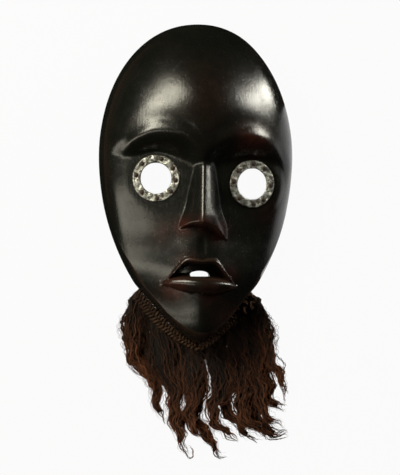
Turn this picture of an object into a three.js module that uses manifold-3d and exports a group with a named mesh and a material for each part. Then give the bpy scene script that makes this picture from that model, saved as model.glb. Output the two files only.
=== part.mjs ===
// A carved wooden face mask with round metal eye rings and a plaited beard of plant fibre.
// It lies on its rim, face up: X runs to the viewer's right, Y towards the crown, Z out of the face.
// Millimetres. The origin ends up on the floor under the middle of the whole piece.
import * as THREE from 'three';
import { mergeVertices } from 'three/addons/utils/BufferGeometryUtils.js';
import Module from 'manifold-3d';

const wasm = await Module();
wasm.setup();

// Rim outline: half an ellipse above the widest line, a pointed half below it.
const FACE_HALF_WIDTH = 72;
const CROWN_REACH = 99;
const CHIN_REACH = 138;
const CHIN_TAPER = 0.25;
const CHIN_PINCH = 0.08;
const CROWN_FULLNESS = 0.03;
const AXIS_LEAN = 1.6;
const LEAN_IN_THE_MIDDLE = 0.15;
const PINCH_FROM = 0.66;
const PINCH_TO = 0.8;
const WIDEST_BLEND = 0.25;

// Height of the carved front above the rim, and the thickness of the wood.
const FACE_DEPTH = 54;
const SIDE_FULLNESS = 1.25;
const CHEEK_FULLNESS = 0.85;
const CHEEK_FULLNESS_BELOW = -45;
const SIDE_FULLNESS_ABOVE = 15;
const FOREHEAD_SWELL = 7;
const SWELL_MIDDLE = 48;
const SWELL_HEIGHT = 36;
const SWELL_WIDTH = 34;
const RIM_WIDTH = 7;
const WALL = 7;
const MOUTH_WALL = 14;
const CHIN_RIM_SHARE = 1.7;
const MOUTH_HOLLOW_SHARE = 1.35;
const HOLLOW_BLEND = 9;
const MOUTH_HOLLOW_BLEND = 6;

// Steepness of the side wall against the vault, at the sides and at the chin.
const SIDE_STEEPNESS = 1.6;
const CHIN_STEEPNESS = 2.4;
const CHIN_STEEPNESS_FROM = -85;
const CHIN_STEEPNESS_TO = -115;
const SHOULDER = 2;

// The carver's slant: features drop a little towards the viewer's right.
const SLANT = 0.058;

// Eyes: round openings in a tilted, recessed plane.
const EYE_SPACING = 35.4;
const EYE_SHIFT = 2.6;
const EYE_LINE = -17.5;
const EYE_HEIGHT = 35;
const EYE_TILT = THREE.MathUtils.degToRad(14);
const PLANE_RISE = 0.03;
const PLANE_ROUNDING = 3;
const EYE_HOLE_RADIUS = 12.6;
const RING_INNER_RADIUS = 11.4;
const RING_OUTER_RADIUS = 17.4;
const RING_THICKNESS = 1;
const SEAT_MARGIN = 1.1;
const SEAT_BLEND = 8;

// Tacks that pin the rings, at the angles they were driven, in degrees.
const TACK_CIRCLE = 14.7;
const TACK_HEAD_RADIUS = 1.35;
const TACK_HEAD_HEIGHT = 0.8;
const TACK_SHANK_RADIUS = 0.6;
const TACK_SHANK_LENGTH = 4.6;
const LEFT_TACKS = [74, 30, -6, -41, -86, -135, 171, 134];
const RIGHT_TACKS = [87, 50, -5, -53, -86, -134, 174, 140];

// Brow, nose, muzzle and mouth.
const BROW_TIP = 5;
const BROW_EDGE = 4;
const BROW_LEVEL = -12;
const BROW_POINT_RISE = 10;
const CHEEK_EDGE = 12;
const CHEEK_LEVEL = -64;
const BROW_DIP = 7;
const BROW_DIP_MIDDLE = 1.5;
const BROW_DIP_WIDTH = 9;
const BROW_POINT_END = -8;
const BROW_POINT_FLARE = 0.02;
const BROW_POINT_LEVEL = 20;
const BROW_POINT_BLEND = 6;
const FOREHEAD_BLEND = 5;
const TEMPLE_ROUNDING = 9;
const TEMPLE_FROM = 40;
const TEMPLE_TO = 60;
const TEMPLE_HEIGHT = 18;
const BROW_ROLL = 1.2;
const BROW_ROLL_WIDTH = 4.5;
const BROW_GROOVE_SHARE = 0.35;
const BROW_GROOVE_RISE = 10;
const BROW_GROOVE_WIDTH = 6;
const BROW_CREST = [[0, 3], [10, 11], [20, 16], [32, 17.5], [42, 16], [52, 9.5], [60, 0]];
const BROW_PROFILE = [[-12, 0], [-3, 0.1], [0, 1.6], [10, 9.8], [13, 12], [17, 13.8], [21, 14.5],
  [25, 16], [34, 24], [60, 50]];
const NOSE_ROOT = 2;
const NOSE_BASE = -50;
const NOSE_ROOT_HEIGHT = 46;
const NOSE_TIP_HEIGHT = 60.5;
const NOSE_ROOT_SHIFT = 1.6;
const NOSE_TIP_SHIFT = -0.6;
const NOSE_ROOT_HALF_WIDTH = 8.2;
const NOSE_TIP_HALF_WIDTH = 10.6;
const NOSE_TIP_DROP = 1.5;
const NOSTRIL_FLARE = 5.6;
const LEFT_FACET = 1.2;
const RIGHT_FACET = 0.58;
const NOSE_ROUNDING = 1.5;
const NOSE_SIDE_ROUNDING = 5;
const NOSE_STEEPNESS = 2.6;
const NOSE_BASE_ARCH = 0.027;
const NOSE_BASE_TILT = 0.08;
const NOSE_BASE_RISE = 1.2;
const NOSE_BASE_STEEPNESS = 5;
const NOSE_BASE_ROUNDING = 1.8;
const NOSE_ROOT_SLOPE = 0.9;
const NOSE_ROOT_ROUNDING = 8;
const NOSE_BLEND = 3;
const MOUTH_CORNER = -95;
const MOUTH_HALF_WIDTH = 28.9;
const MOUTH_SHIFT = -0.8;
const LIP_TOP = -73;
const LIP_HEIGHT = 4.6;
const MOUTH_DEPTH = 8.5;
const UPPER_LIP = 5;
const LOWER_LIP = 6;
const LOWER_LIP_LIFT = 1;
const LOWER_LIP_SHARE = 1.4;
const LIP_ROUNDNESS = 0.55;
const BOW_DEPTH = 1.8;
const BOW_WIDTH = 4.5;
const LIP_BEND = 12;
const LIP_SLOPE = 1.38;
const LIP_INNER_BEND = 11.5;
const LIP_INNER_SLOPE = 1.1;
const LIP_BLEND = 4;
const LIP_NARROWEST = 2.2;
const LIP_FADE = 8;
const GROOVE_DEPTH = 0.9;
const GROOVE_WIDTH = 2.6;
const GROOVE_SHIFT = 0.8;
const SLOT_WIDTH = 14.5;
const SLOT_HEIGHT = 4.1;
const SLOT_CENTRE = [-1.2, -85.5];

// Small cord holes through the side wall, just above the rim.
const CORD_HOLES = 26;
const CORD_HOLE_RADIUS = 1.45;
const CORD_HOLE_LEVEL = 5;

// Plait of three fibre strands laid round the chin, and the locks hanging from it.
const PLAIT_START = THREE.MathUtils.degToRad(224.5);
const PLAIT_END = THREE.MathUtils.degToRad(314);
const KNOT_AT = 0.955;
const LOCK_HALF_THICKNESS = 2;
const LOCK_LEVELS = [2.3, 6.8];
const LOCK_TAPER = [[0, 0.3], [0.16, 0.88], [0.36, 1], [0.6, 0.84], [0.85, 0.5], [1, 0.1]];

// Free room left between neighbouring pieces.
const GAP = 0.3;

const FRONT_GRID = [34, 46];
const BACK_GRID = [16, 20];
const RING_SIDES = 24;

const { clamp, lerp } = THREE.MathUtils;

// Smaller or larger of two heights, blended over a width.
function softMin(a, b, blend) {
  const overlap = Math.max(blend - Math.abs(a - b), 0) / blend;
  return Math.min(a, b) - (overlap * overlap * blend) / 4;
}

function softMax(a, b, blend) {
  return -softMin(-a, -b, blend);
}

// Smooth step from 0 at one place to 1 at another.
function ramp(from, to, at) {
  const t = clamp((at - from) / (to - from), 0, 1);
  return t * t * (3 - 2 * t);
}

// A bell round one place.
const near = (at, centre, width) => Math.exp(-(((at - centre) / width) ** 2));

// Smooth curve through pairs of position and value.
function through(points, at) {
  const last = points.length - 1;
  if (at <= points[0][0]) return points[0][1];
  if (at >= points[last][0]) return points[last][1];
  let i = 0;
  while (points[i + 1][0] < at) i += 1;
  const slope = (k) => {
    const before = points[Math.max(k - 1, 0)];
    const after = points[Math.min(k + 1, last)];
    return (after[1] - before[1]) / (after[0] - before[0]);
  };
  const span = points[i + 1][0] - points[i][0];
  const t = (at - points[i][0]) / span;
  const ease = t * t * (3 - 2 * t);
  const bend = t * (1 - t) * ((1 - t) * slope(i) - t * slope(i + 1)) * span;
  return lerp(points[i][1], points[i + 1][1], ease) + bend;
}

// The oval plan as a unit disc (p, q) stretched to an outline of the given sizes.
const OUTER = { halfWidth: FACE_HALF_WIDTH, crown: CROWN_REACH, chin: CHIN_REACH };
const INNER = {
  halfWidth: FACE_HALF_WIDTH - RIM_WIDTH,
  crown: CROWN_REACH - RIM_WIDTH,
  chin: CHIN_REACH - CHIN_RIM_SHARE * RIM_WIDTH,
};

function narrowing(q) {
  const room = Math.max(1 - q * q, 1e-9);
  const pinch = 1 - CHIN_PINCH * ramp(PINCH_FROM, PINCH_TO, -q);
  return q < 0 ? pinch * room ** CHIN_TAPER : room ** -CROWN_FULLNESS;
}

// The outline leans a little to the viewer's right at both ends.
const lean = (q) => AXIS_LEAN * lerp(Math.abs(q) ** 5, 1, LEAN_IN_THE_MIDDLE);

function planPoint(outline, p, q) {
  const reach = lerp(outline.chin, outline.crown, ramp(-WIDEST_BLEND, WIDEST_BLEND, q));
  return [outline.halfWidth * p * narrowing(q) + lean(q), q * reach];
}

// The vault that the whole face is carved from; room is 1 in the middle and 0 at the rim.
function vault(x, y, room) {
  const swell = FOREHEAD_SWELL * near(y, SWELL_MIDDLE, SWELL_HEIGHT) * near(x, 0, SWELL_WIDTH);
  const fullness = lerp(CHEEK_FULLNESS, SIDE_FULLNESS, ramp(CHEEK_FULLNESS_BELOW, SIDE_FULLNESS_ABOVE, y));
  return FACE_DEPTH * Math.sqrt(1 - (1 - room) ** fullness) + swell * room;
}

// Recessed plane of eyes and cheeks, the slope up from it, and the roll of the brow above.
function recess(x, y) {
  const outward = Math.hypot(x, PLANE_ROUNDING) - EYE_SPACING;
  const plane = EYE_HEIGHT - Math.tan(EYE_TILT) * outward + PLANE_RISE * (y - EYE_LINE);
  return plane + through(BROW_PROFILE, y + BROW_DIP * near(x, BROW_DIP_MIDDLE, BROW_DIP_WIDTH));
}

// The forehead runs down between the eyes to the nose in a V.
function browPoint(x, y) {
  const rise = Math.max(y - BROW_TIP, BROW_POINT_END);
  const half = rise + BROW_POINT_FLARE * rise * Math.abs(rise);
  const top = NOSE_ROOT_HEIGHT + BROW_POINT_RISE * ramp(BROW_LEVEL, BROW_POINT_LEVEL, y);
  const sides = softMax(Math.abs(x - EYE_SHIFT) - half, 0, BROW_POINT_BLEND);
  return top - sides - 3 * softMax(-4 - y, 0, 3);
}

// The slight swell along each brow and the shallow groove above it.
function browRoll(x, y) {
  const side = Math.abs(x - EYE_SHIFT);
  const crest = through(BROW_CREST, side);
  const stretch = ramp(2, 14, side) * (1 - ramp(54, 64, side));
  const groove = near(y, crest + BROW_GROOVE_RISE, BROW_GROOVE_WIDTH);
  return stretch * BROW_ROLL * (near(y, crest, BROW_ROLL_WIDTH) - BROW_GROOVE_SHARE * groove);
}

// A long nose with a rounded ridge, two facets, steep sides and drooping wings.
function nose(x, y) {
  const down = (NOSE_ROOT - y) / (NOSE_ROOT - NOSE_BASE);
  const t = clamp(down, 0, 1);
  const across = x - lerp(NOSE_ROOT_SHIFT, NOSE_TIP_SHIFT, t);
  const flare = NOSTRIL_FLARE * ramp(0.7, 1.1, down);
  const half = lerp(NOSE_ROOT_HALF_WIDTH, NOSE_TIP_HALF_WIDTH, t) + flare;
  const drop = NOSE_TIP_DROP * ramp(0.84, 1.06, down);
  const ridge = lerp(NOSE_ROOT_HEIGHT, NOSE_TIP_HEIGHT, t) - drop;
  const facet = (across < 0 ? LEFT_FACET : RIGHT_FACET) * (Math.hypot(across, NOSE_ROUNDING) - NOSE_ROUNDING);
  const sides = NOSE_STEEPNESS * softMax(Math.abs(across) - half, 0, NOSE_SIDE_ROUNDING);
  const base = NOSE_BASE + NOSE_BASE_RISE - NOSE_BASE_ARCH * across ** 2 - NOSE_BASE_TILT * across;
  const above = NOSE_ROOT_SLOPE * softMax(y - NOSE_ROOT, 0, NOSE_ROOT_ROUNDING);
  const below = NOSE_BASE_STEEPNESS * softMax(base - y, 0, NOSE_BASE_ROUNDING);
  return ridge - facet - sides - above - below;
}

// Raised ground of mouth, cheeks and chin: half-width, height and side slope down the face.
const MUZZLE_ROUNDING = 5;
const MUZZLE_SHIFT = 1;
const MUZZLE_EDGE = 9;
const MUZZLE_CURVE = 0.0015;
const MUZZLE_BLEND = 14;
const MUZZLE_WIDTHS = [[44, 4], [58, 7], [74, 9], [86, 9], [96, 7], [112, 3], [138, 0]];
const MUZZLE_HEIGHTS = [[10, 20], [38, 37], [48, 40], [58, 42], [66, 44], [74, 45.5], [82, 47],
  [90, 47.5], [104, 47.6], [118, 47], [128, 45], [134, 39], [138, 14]];
const MUZZLE_SLOPES = [[50, 0.48], [80, 0.5], [108, 0.66], [138, 0.8]];

function muzzle(x, y) {
  const across = Math.hypot(x - MUZZLE_SHIFT, MUZZLE_ROUNDING);
  const beside = softMax(across - through(MUZZLE_WIDTHS, -y), 0, MUZZLE_EDGE);
  const sides = through(MUZZLE_SLOPES, -y) * beside;
  return through(MUZZLE_HEIGHTS, -y) - sides - MUZZLE_CURVE * across ** 2;
}

// Open lips: two rounded bands that meet at the corners, the hollow between, the groove above.
function lips(x, y) {
  const across = Math.hypot(x - MOUTH_SHIFT, 0.7);
  const m = clamp(across / MOUTH_HALF_WIDTH, 0, 1);
  const bow = LIP_TOP - BOW_DEPTH * near(across, 0, BOW_WIDTH);
  const upperOutside = softMin(bow, LIP_TOP - (across - LIP_BEND) * LIP_SLOPE, LIP_BLEND);
  const innerTop = LIP_TOP - UPPER_LIP;
  const upperInside = softMin(innerTop, innerTop - (across - LIP_INNER_BEND) * LIP_INNER_SLOPE, LIP_BLEND);
  const lowerInside = MOUTH_CORNER + LOWER_LIP_LIFT + LOWER_LIP * (1 - m ** 4);
  const lowerOutside = MOUTH_CORNER + LOWER_LIP_LIFT - LOWER_LIP * (1 - m ** 2.4);
  const roll = (at) => clamp(4 * at * (1 - at), 0, 1) ** LIP_ROUNDNESS;
  const upperAt = (upperOutside - y) / Math.max(upperOutside - upperInside, LIP_NARROWEST);
  const lowerAt = (y - lowerOutside) / Math.max(lowerInside - lowerOutside, LIP_NARROWEST);
  const hollow = MOUTH_DEPTH * ramp(-0.2, 2.6, upperInside - y) * ramp(-0.4, 2.4, y - lowerInside);
  const toCorner = MOUTH_HALF_WIDTH - across;
  const higher = Math.max(roll(upperAt), LOWER_LIP_SHARE * roll(lowerAt));
  const lift = LIP_HEIGHT * higher * ramp(-0.5, LIP_FADE, toCorner);
  const grooveEnds = ramp(-54, -62, y) * ramp(LIP_TOP - 2, LIP_TOP + 4, y);
  const groove = GROOVE_DEPTH * near(x, GROOVE_SHIFT, GROOVE_WIDTH) * grooveEnds;
  return lift - hollow * ramp(0, 5, toCorner) - groove;
}

// An eye: its centre on the face, and the tilted plane its ring lies on.
function eye(side) {
  const x = side * EYE_SPACING + EYE_SHIFT;
  const y = EYE_LINE - SLANT * x;
  const outward = Math.tan(EYE_TILT);
  const height = (px, py) =>
    EYE_HEIGHT - outward * (side * px - EYE_SPACING) + PLANE_RISE * (py + SLANT * px - EYE_LINE);
  const normal = new THREE.Vector3(side * outward - PLANE_RISE * SLANT, -PLANE_RISE, 1).normalize();
  return { x, y, height, normal };
}
const EYES = { left: eye(-1), right: eye(1) };

// Height of the carved front over the plan.
function front(x, y, room) {
  const level = y + SLANT * x;
  const ground = vault(x, y, room);
  const carved = softMax(recess(x, level), browPoint(x, level), FOREHEAD_BLEND);
  const edge = lerp(CHEEK_EDGE, BROW_EDGE, ramp(CHEEK_LEVEL, BROW_LEVEL, level));
  const temple = ramp(TEMPLE_FROM, TEMPLE_TO, Math.abs(x)) * near(level, 0, TEMPLE_HEIGHT);
  let z = softMin(ground, carved, edge + TEMPLE_ROUNDING * temple);
  z += browRoll(x, level);
  z = softMax(z, muzzle(x, level), MUZZLE_BLEND);
  z = softMax(z, nose(x, level), NOSE_BLEND);
  z += lips(x, level);
  for (const { x: eyeX, y: eyeY, height } of Object.values(EYES)) {
    const seat = RING_OUTER_RADIUS + SEAT_MARGIN;
    const away = Math.hypot(x - eyeX, y - eyeY);
    z = lerp(height(x, y) + GAP, z, ramp(seat, seat + SEAT_BLEND, away));
  }
  const chin = ramp(CHIN_STEEPNESS_FROM, CHIN_STEEPNESS_TO, y);
  const steepness = lerp(SIDE_STEEPNESS, CHIN_STEEPNESS, chin);
  return softMin(z, steepness * ground, SHOULDER * Math.sqrt(room) + 1e-9);
}

// Height of the hollow behind it: the same big forms without the small carving.
function back(x, y, room) {
  const level = y + SLANT * x;
  const inside = vault(x, y, room) - WALL * Math.sqrt(room);
  const behindEyes = recess(x, level) - WALL;
  const behindMouth = muzzle(MOUTH_HOLLOW_SHARE * x, level) - MOUTH_WALL;
  const upper = softMin(inside, behindEyes, HOLLOW_BLEND);
  const lower = softMin(behindMouth, inside, MOUTH_HOLLOW_BLEND);
  return softMax(upper, lower, MOUTH_HOLLOW_BLEND);
}

// Splits -1..1 into steps that are short where the weight is high.
function spread(steps, weight) {
  const samples = 2000;
  const sums = [0];
  for (let i = 0; i < samples; i += 1) {
    sums.push(sums[i] + weight(-1 + (2 * i + 1) / samples));
  }
  const places = [];
  for (let step = 0; step <= steps; step += 1) {
    const wanted = (sums[samples] * step) / steps;
    const i = clamp(sums.findIndex((sum) => sum >= wanted), 1, samples);
    const part = (wanted - sums[i - 1]) / (sums[i] - sums[i - 1]);
    places.push(-1 + (2 * (i - 1 + part)) / samples);
  }
  return places;
}

const towardsRim = (at) => 1 / Math.sqrt(1.03 - at * at);
const columnWeight = (u) => towardsRim(u) + 1.7 * near(u, 0, 0.42);
const rowWeight = (v) =>
  towardsRim(v) + 3.4 * near(v, -0.61, 0.12) + 1.2 * near(v, -0.38, 0.07) + 0.6 * near(v, 0.05, 0.2);

// A solid under a height over the oval plan, closed by a flat floor at its edge.
function mound([columns, rows], outline, height, edge) {
  const us = spread(columns, columnWeight);
  const vs = spread(rows, rowWeight);
  const positions = [];
  const index = [];
  const id = (i, j) => j * (columns + 1) + i;
  for (let j = 0; j <= rows; j += 1) {
    for (let i = 0; i <= columns; i += 1) {
      const [u, v] = [us[i], vs[j]];
      const onRim = i === 0 || j === 0 || i === columns || j === rows;
      const room = (1 - u * u) * (1 - v * v);
      const [x, y] = planPoint(outline, u * Math.sqrt(1 - (v * v) / 2), v * Math.sqrt(1 - (u * u) / 2));
      positions.push(x, y, onRim ? edge : Math.max(height(x, y, room), edge + 0.2));
    }
  }
  for (let j = 0; j < rows; j += 1) {
    for (let i = 0; i < columns; i += 1) {
      const [a, b, c, d] = [id(i, j), id(i + 1, j), id(i + 1, j + 1), id(i, j + 1)];
      const rising = (us[i] + us[i + 1]) * (vs[j] + vs[j + 1]) > 0;
      index.push(...(rising ? [a, b, c, a, c, d] : [a, b, d, b, c, d]));
    }
  }
  const border = [];
  for (let i = 0; i < columns; i += 1) border.push(id(i, 0));
  for (let j = 0; j < rows; j += 1) border.push(id(columns, j));
  for (let i = columns; i > 0; i -= 1) border.push(id(i, rows));
  for (let j = rows; j > 0; j -= 1) border.push(id(0, j));
  const middle = positions.length / 3;
  positions.push(0, 0, edge);
  border.forEach((from, k) => index.push(middle, border[(k + 1) % border.length], from));
  return meshGeometry(positions, index);
}

function meshGeometry(positions, index) {
  const geometry = new THREE.BufferGeometry();
  geometry.setAttribute('position', new THREE.Float32BufferAttribute(positions, 3));
  geometry.setIndex(index);
  return geometry;
}

// Geometry to solid and back, for cutting.
function solid(geometry) {
  const plain = geometry.clone();
  plain.deleteAttribute('normal');
  plain.deleteAttribute('uv');
  const merged = mergeVertices(plain, 1e-4);
  return new wasm.Manifold(new wasm.Mesh({
    numProp: 3,
    vertProperties: new Float32Array(merged.attributes.position.array),
    triVerts: new Uint32Array(merged.index.array),
  }));
}

function faceted(body) {
  const mesh = body.getMesh();
  return meshGeometry(Array.from(mesh.vertProperties), Array.from(mesh.triVerts));
}

// The rim outline as a curve, between two angles round the face.
class RimLine extends THREE.Curve {
  constructor(from, to) {
    super();
    this.from = from;
    this.to = to;
  }

  getPoint(t, target = new THREE.Vector3()) {
    const angle = lerp(this.from, this.to, t);
    const [x, y] = planPoint(OUTER, Math.cos(angle), Math.sin(angle));
    return target.set(x, y, 0);
  }
}

// A place on a rim line, with the directions along it and away from the face.
function rimPlace(line, along) {
  const point = line.getPointAt(along);
  const tangent = line.getTangentAt(along);
  return { point, tangent, outward: new THREE.Vector3(tangent.y, -tangent.x, 0) };
}

const Z_AXIS = new THREE.Vector3(0, 0, 1);

// A round drill from one point to another.
function drill(start, end, radius, sides) {
  const length = start.distanceTo(end);
  const geometry = new THREE.CylinderGeometry(radius, radius, length, sides);
  geometry.rotateX(Math.PI / 2);
  const direction = end.clone().sub(start).normalize();
  geometry.applyQuaternion(new THREE.Quaternion().setFromUnitVectors(Z_AXIS, direction));
  const middle = start.clone().add(end).multiplyScalar(0.5);
  geometry.translate(middle.x, middle.y, middle.z);
  return solid(geometry);
}

function eyeDrills() {
  return Object.values(EYES).map(({ x, y }) => drill(
    new THREE.Vector3(x, y, -GAP),
    new THREE.Vector3(x, y, FACE_DEPTH),
    EYE_HOLE_RADIUS,
    RING_SIDES,
  ));
}

// Flat round seats let into the wood under the rings.
function seatDrills() {
  return Object.values(EYES).map(({ x, y, height, normal }) => {
    const seat = new THREE.Vector3(x, y, height(x, y));
    const above = seat.clone().addScaledVector(normal, FACE_DEPTH / 2);
    return drill(seat, above, RING_OUTER_RADIUS + SEAT_MARGIN, RING_SIDES);
  });
}

// The narrow opening between the lips, arched above and flat below.
function mouthCutter() {
  const half = SLOT_WIDTH / 2;
  const shape = new THREE.Shape();
  shape.moveTo(-half, -SLOT_HEIGHT / 2);
  shape.lineTo(half, -SLOT_HEIGHT / 2);
  shape.lineTo(0.86 * half, 0.24 * SLOT_HEIGHT);
  shape.lineTo(0.3 * half, SLOT_HEIGHT / 2);
  shape.lineTo(-0.3 * half, SLOT_HEIGHT / 2);
  shape.lineTo(-0.86 * half, 0.24 * SLOT_HEIGHT);
  const geometry = new THREE.ExtrudeGeometry(shape, { depth: 2 * FACE_DEPTH, bevelEnabled: false });
  geometry.translate(...SLOT_CENTRE, -GAP);
  return solid(geometry);
}

function cordDrills() {
  const line = new RimLine(0, 2 * Math.PI);
  return Array.from({ length: CORD_HOLES }, (_, k) => {
    const { point, outward } = rimPlace(line, (k + 0.5) / CORD_HOLES);
    point.z = CORD_HOLE_LEVEL;
    const outside = point.clone().addScaledVector(outward, RIM_WIDTH / 2);
    const inside = point.clone().addScaledVector(outward, -3 * RIM_WIDTH);
    return drill(outside, inside, CORD_HOLE_RADIUS, 5);
  });
}

// Where the tacks of one eye stand, on the seat of its ring.
function tackPlaces({ x, y, height, normal }, angles) {
  const turn = new THREE.Quaternion().setFromUnitVectors(Z_AXIS, normal);
  const centre = new THREE.Vector3(x, y, height(x, y));
  return angles.map((degrees) => {
    const angle = THREE.MathUtils.degToRad(degrees);
    const flat = new THREE.Vector3(Math.cos(angle), Math.sin(angle), 0).multiplyScalar(TACK_CIRCLE);
    return centre.clone().add(flat.applyQuaternion(turn));
  });
}

function tackDrills(socket, angles) {
  const depth = TACK_SHANK_LENGTH - RING_THICKNESS;
  return tackPlaces(socket, angles).map((place) => drill(
    place.clone().addScaledVector(socket.normal, 2 * RING_THICKNESS),
    place.clone().addScaledVector(socket.normal, -depth),
    TACK_SHANK_RADIUS + GAP,
    5,
  ));
}

function woodenFace() {
  const block = solid(mound(FRONT_GRID, OUTER, front, 0));
  const hollow = solid(mound(BACK_GRID, INNER, back, -1));
  const cutters = [
    hollow,
    mouthCutter(),
    ...seatDrills(),
    ...eyeDrills(),
    ...cordDrills(),
    ...tackDrills(EYES.left, LEFT_TACKS),
    ...tackDrills(EYES.right, RIGHT_TACKS),
  ];
  return faceted(cutters.reduce((body, cutter) => body.subtract(cutter), block));
}

// A flat sheet ring with a hole for each tack.
function eyeRing(angles) {
  const circle = (radius, sides, x = 0, y = 0) => Array.from({ length: sides }, (_, k) => {
    const angle = (2 * Math.PI * k) / sides;
    return new THREE.Vector2(x + radius * Math.cos(angle), y + radius * Math.sin(angle));
  });
  const shape = new THREE.Shape(circle(RING_OUTER_RADIUS, RING_SIDES));
  shape.holes.push(new THREE.Path(circle(RING_INNER_RADIUS, RING_SIDES)));
  for (const degrees of angles) {
    const angle = THREE.MathUtils.degToRad(degrees);
    const [x, y] = [TACK_CIRCLE * Math.cos(angle), TACK_CIRCLE * Math.sin(angle)];
    shape.holes.push(new THREE.Path(circle(TACK_SHANK_RADIUS + GAP, 5, x, y)));
  }
  return new THREE.ExtrudeGeometry(shape, { depth: RING_THICKNESS, bevelEnabled: false });
}

// A domed head on a pointed shank, standing on the underside of its head.
function tack() {
  const profile = [
    [0, -TACK_SHANK_LENGTH],
    [TACK_SHANK_RADIUS, -0.7 * TACK_SHANK_LENGTH],
    [TACK_SHANK_RADIUS, 0],
    [TACK_HEAD_RADIUS, 0],
    [0.75 * TACK_HEAD_RADIUS, 0.7 * TACK_HEAD_HEIGHT],
    [0, TACK_HEAD_HEIGHT],
  ].map(([radius, z]) => new THREE.Vector2(radius, z));
  return new THREE.LatheGeometry(profile, 6).rotateX(Math.PI / 2);
}

// A closed body through oval sections, each with a centre, two directions and two half sizes.
function loft(sections, sides) {
  const positions = [];
  const index = [];
  for (const { centre, across, up, halfWidth, halfHeight } of sections) {
    for (let k = 0; k < sides; k += 1) {
      const angle = (2 * Math.PI * k) / sides;
      const point = centre.clone()
        .addScaledVector(across, halfWidth * Math.cos(angle))
        .addScaledVector(up, halfHeight * Math.sin(angle));
      positions.push(point.x, point.y, point.z);
    }
  }
  for (let j = 0; j + 1 < sections.length; j += 1) {
    for (let k = 0; k < sides; k += 1) {
      const [a, b] = [j * sides + k, j * sides + ((k + 1) % sides)];
      index.push(a, b + sides, b, a, a + sides, b + sides);
    }
  }
  const start = positions.length / 3;
  const end = start + 1;
  const tail = (sections.length - 1) * sides;
  positions.push(...sections[0].centre, ...sections[sections.length - 1].centre);
  for (let k = 0; k < sides; k += 1) {
    const next = (k + 1) % sides;
    index.push(start, k, next, end, tail + next, tail + k);
  }
  return meshGeometry(positions, index);
}

// Half-width and half-height of the plait: broad and flat on one cheek, rolled on edge on the other.
function plaitSize(along) {
  const roll = ramp(0.2, 0.5, along);
  const knot = near(along, KNOT_AT, 0.03);
  const ends = Math.sqrt(clamp(Math.min(along, 1 - along) / 0.025, 0.15, 1));
  return {
    halfWidth: ends * (lerp(4.5, 2.6, roll) + 1.6 * knot),
    halfHeight: ends * (lerp(2.2, 3, roll) + 1.1 * knot),
  };
}

const plaitLine = new RimLine(PLAIT_START, PLAIT_END);

function plaitPlace(along) {
  const { point, tangent, outward } = rimPlace(plaitLine, along);
  const { halfWidth, halfHeight } = plaitSize(along);
  const centre = point.addScaledVector(outward, GAP + halfWidth);
  centre.z = CORD_HOLE_LEVEL;
  return { centre, tangent, across: outward, up: Z_AXIS, halfWidth, halfHeight };
}

function chinPlait() {
  const steps = 28;
  const sections = Array.from({ length: steps + 1 }, (_, k) => plaitPlace(k / steps));
  return loft(sections, 8);
}

// The locks: place along the plait, layer, half-width, and the fall from there in steps of x and y.
const LOCKS = [
  [0.01, 1, 5.4, [[-1, -9], [-1.5, -22], [0, -38], [6, -50], [12, -61], [16, -71]]],
  [0.09, 0, 6.4, [[0, -12], [2, -26], [6, -41], [12, -54], [16, -70], [21, -86]]],
  [0.2, 1, 5.8, [[5, -15], [11, -32], [17, -49], [20, -64], [20, -78], [24, -91], [32, -98]]],
  [0.32, 0, 5.4, [[4, -12], [7, -25], [11, -37], [11, -49], [12, -62], [18, -76]]],
  [0.42, 1, 5, [[6, -10], [9, -22], [9, -35], [9, -48], [12, -61], [19, -73]]],
  [0.5, 0, 5, [[4, -12], [5, -25], [4, -38], [5, -52], [12, -63], [20, -73], [28, -78]]],
  [0.58, 1, 5, [[4, -13], [7, -23], [4, -33], [0, -41], [2, -51], [9, -61], [19, -71]]],
  [0.65, 0, 4.4, [[6, -18], [6, -33], [4, -44], [7, -52], [12, -62], [19, -70], [29, -74]]],
  [0.72, 1, 4.6, [[8, -19], [9, -34], [9, -49], [12, -62], [19, -72], [31, -78]]],
  [0.79, 0, 5, [[7, -20], [8, -39], [9, -56], [14, -69], [25, -79], [40, -84]]],
  [0.86, 1, 5, [[6, -19], [8, -39], [10, -56], [15, -70], [23, -80], [30, -86]]],
  [0.93, 0, 5, [[7, -17], [10, -36], [11, -53], [14, -67], [22, -73], [29, -76]]],
  [0.985, 1, 4.4, [[4, -8], [6, -20], [9, -34], [12, -47], [17, -59], [23, -72]]],
];

function beardLock([along, layer, halfWidth, fall]) {
  const root = plaitPlace(along);
  const start = root.centre.clone().addScaledVector(root.across, root.halfWidth + 5 * GAP);
  start.z = LOCK_LEVELS[layer];
  const points = [start, ...fall.map(([x, y]) => new THREE.Vector3(start.x + x, start.y + y, start.z))];
  const route = new THREE.CatmullRomCurve3(points);
  const steps = 9;
  const sections = Array.from({ length: steps + 1 }, (_, k) => {
    const t = k / steps;
    const tangent = route.getTangentAt(t);
    const swell = through(LOCK_TAPER, t);
    return {
      centre: route.getPointAt(t),
      across: new THREE.Vector3(tangent.y, -tangent.x, 0),
      up: Z_AXIS,
      halfWidth: halfWidth * swell,
      halfHeight: LOCK_HALF_THICKNESS * Math.sqrt(swell),
    };
  });
  return loft(sections, 6);
}

const wood = new THREE.MeshStandardMaterial({ color: 0x1c1712, roughness: 0.32, metalness: 0 });
const sheet = new THREE.MeshStandardMaterial({ color: 0x8d8b78, roughness: 0.45, metalness: 0.9 });
const iron = new THREE.MeshStandardMaterial({ color: 0x2a211a, roughness: 0.7, metalness: 0.8 });
const cord = new THREE.MeshStandardMaterial({ color: 0x3b2a1c, roughness: 0.95, metalness: 0 });
const fibre = new THREE.MeshStandardMaterial({ color: 0x3e2213, roughness: 0.9, metalness: 0 });

function named(name, geometry, material) {
  const mesh = new THREE.Mesh(geometry, material);
  mesh.name = name;
  return mesh;
}

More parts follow.
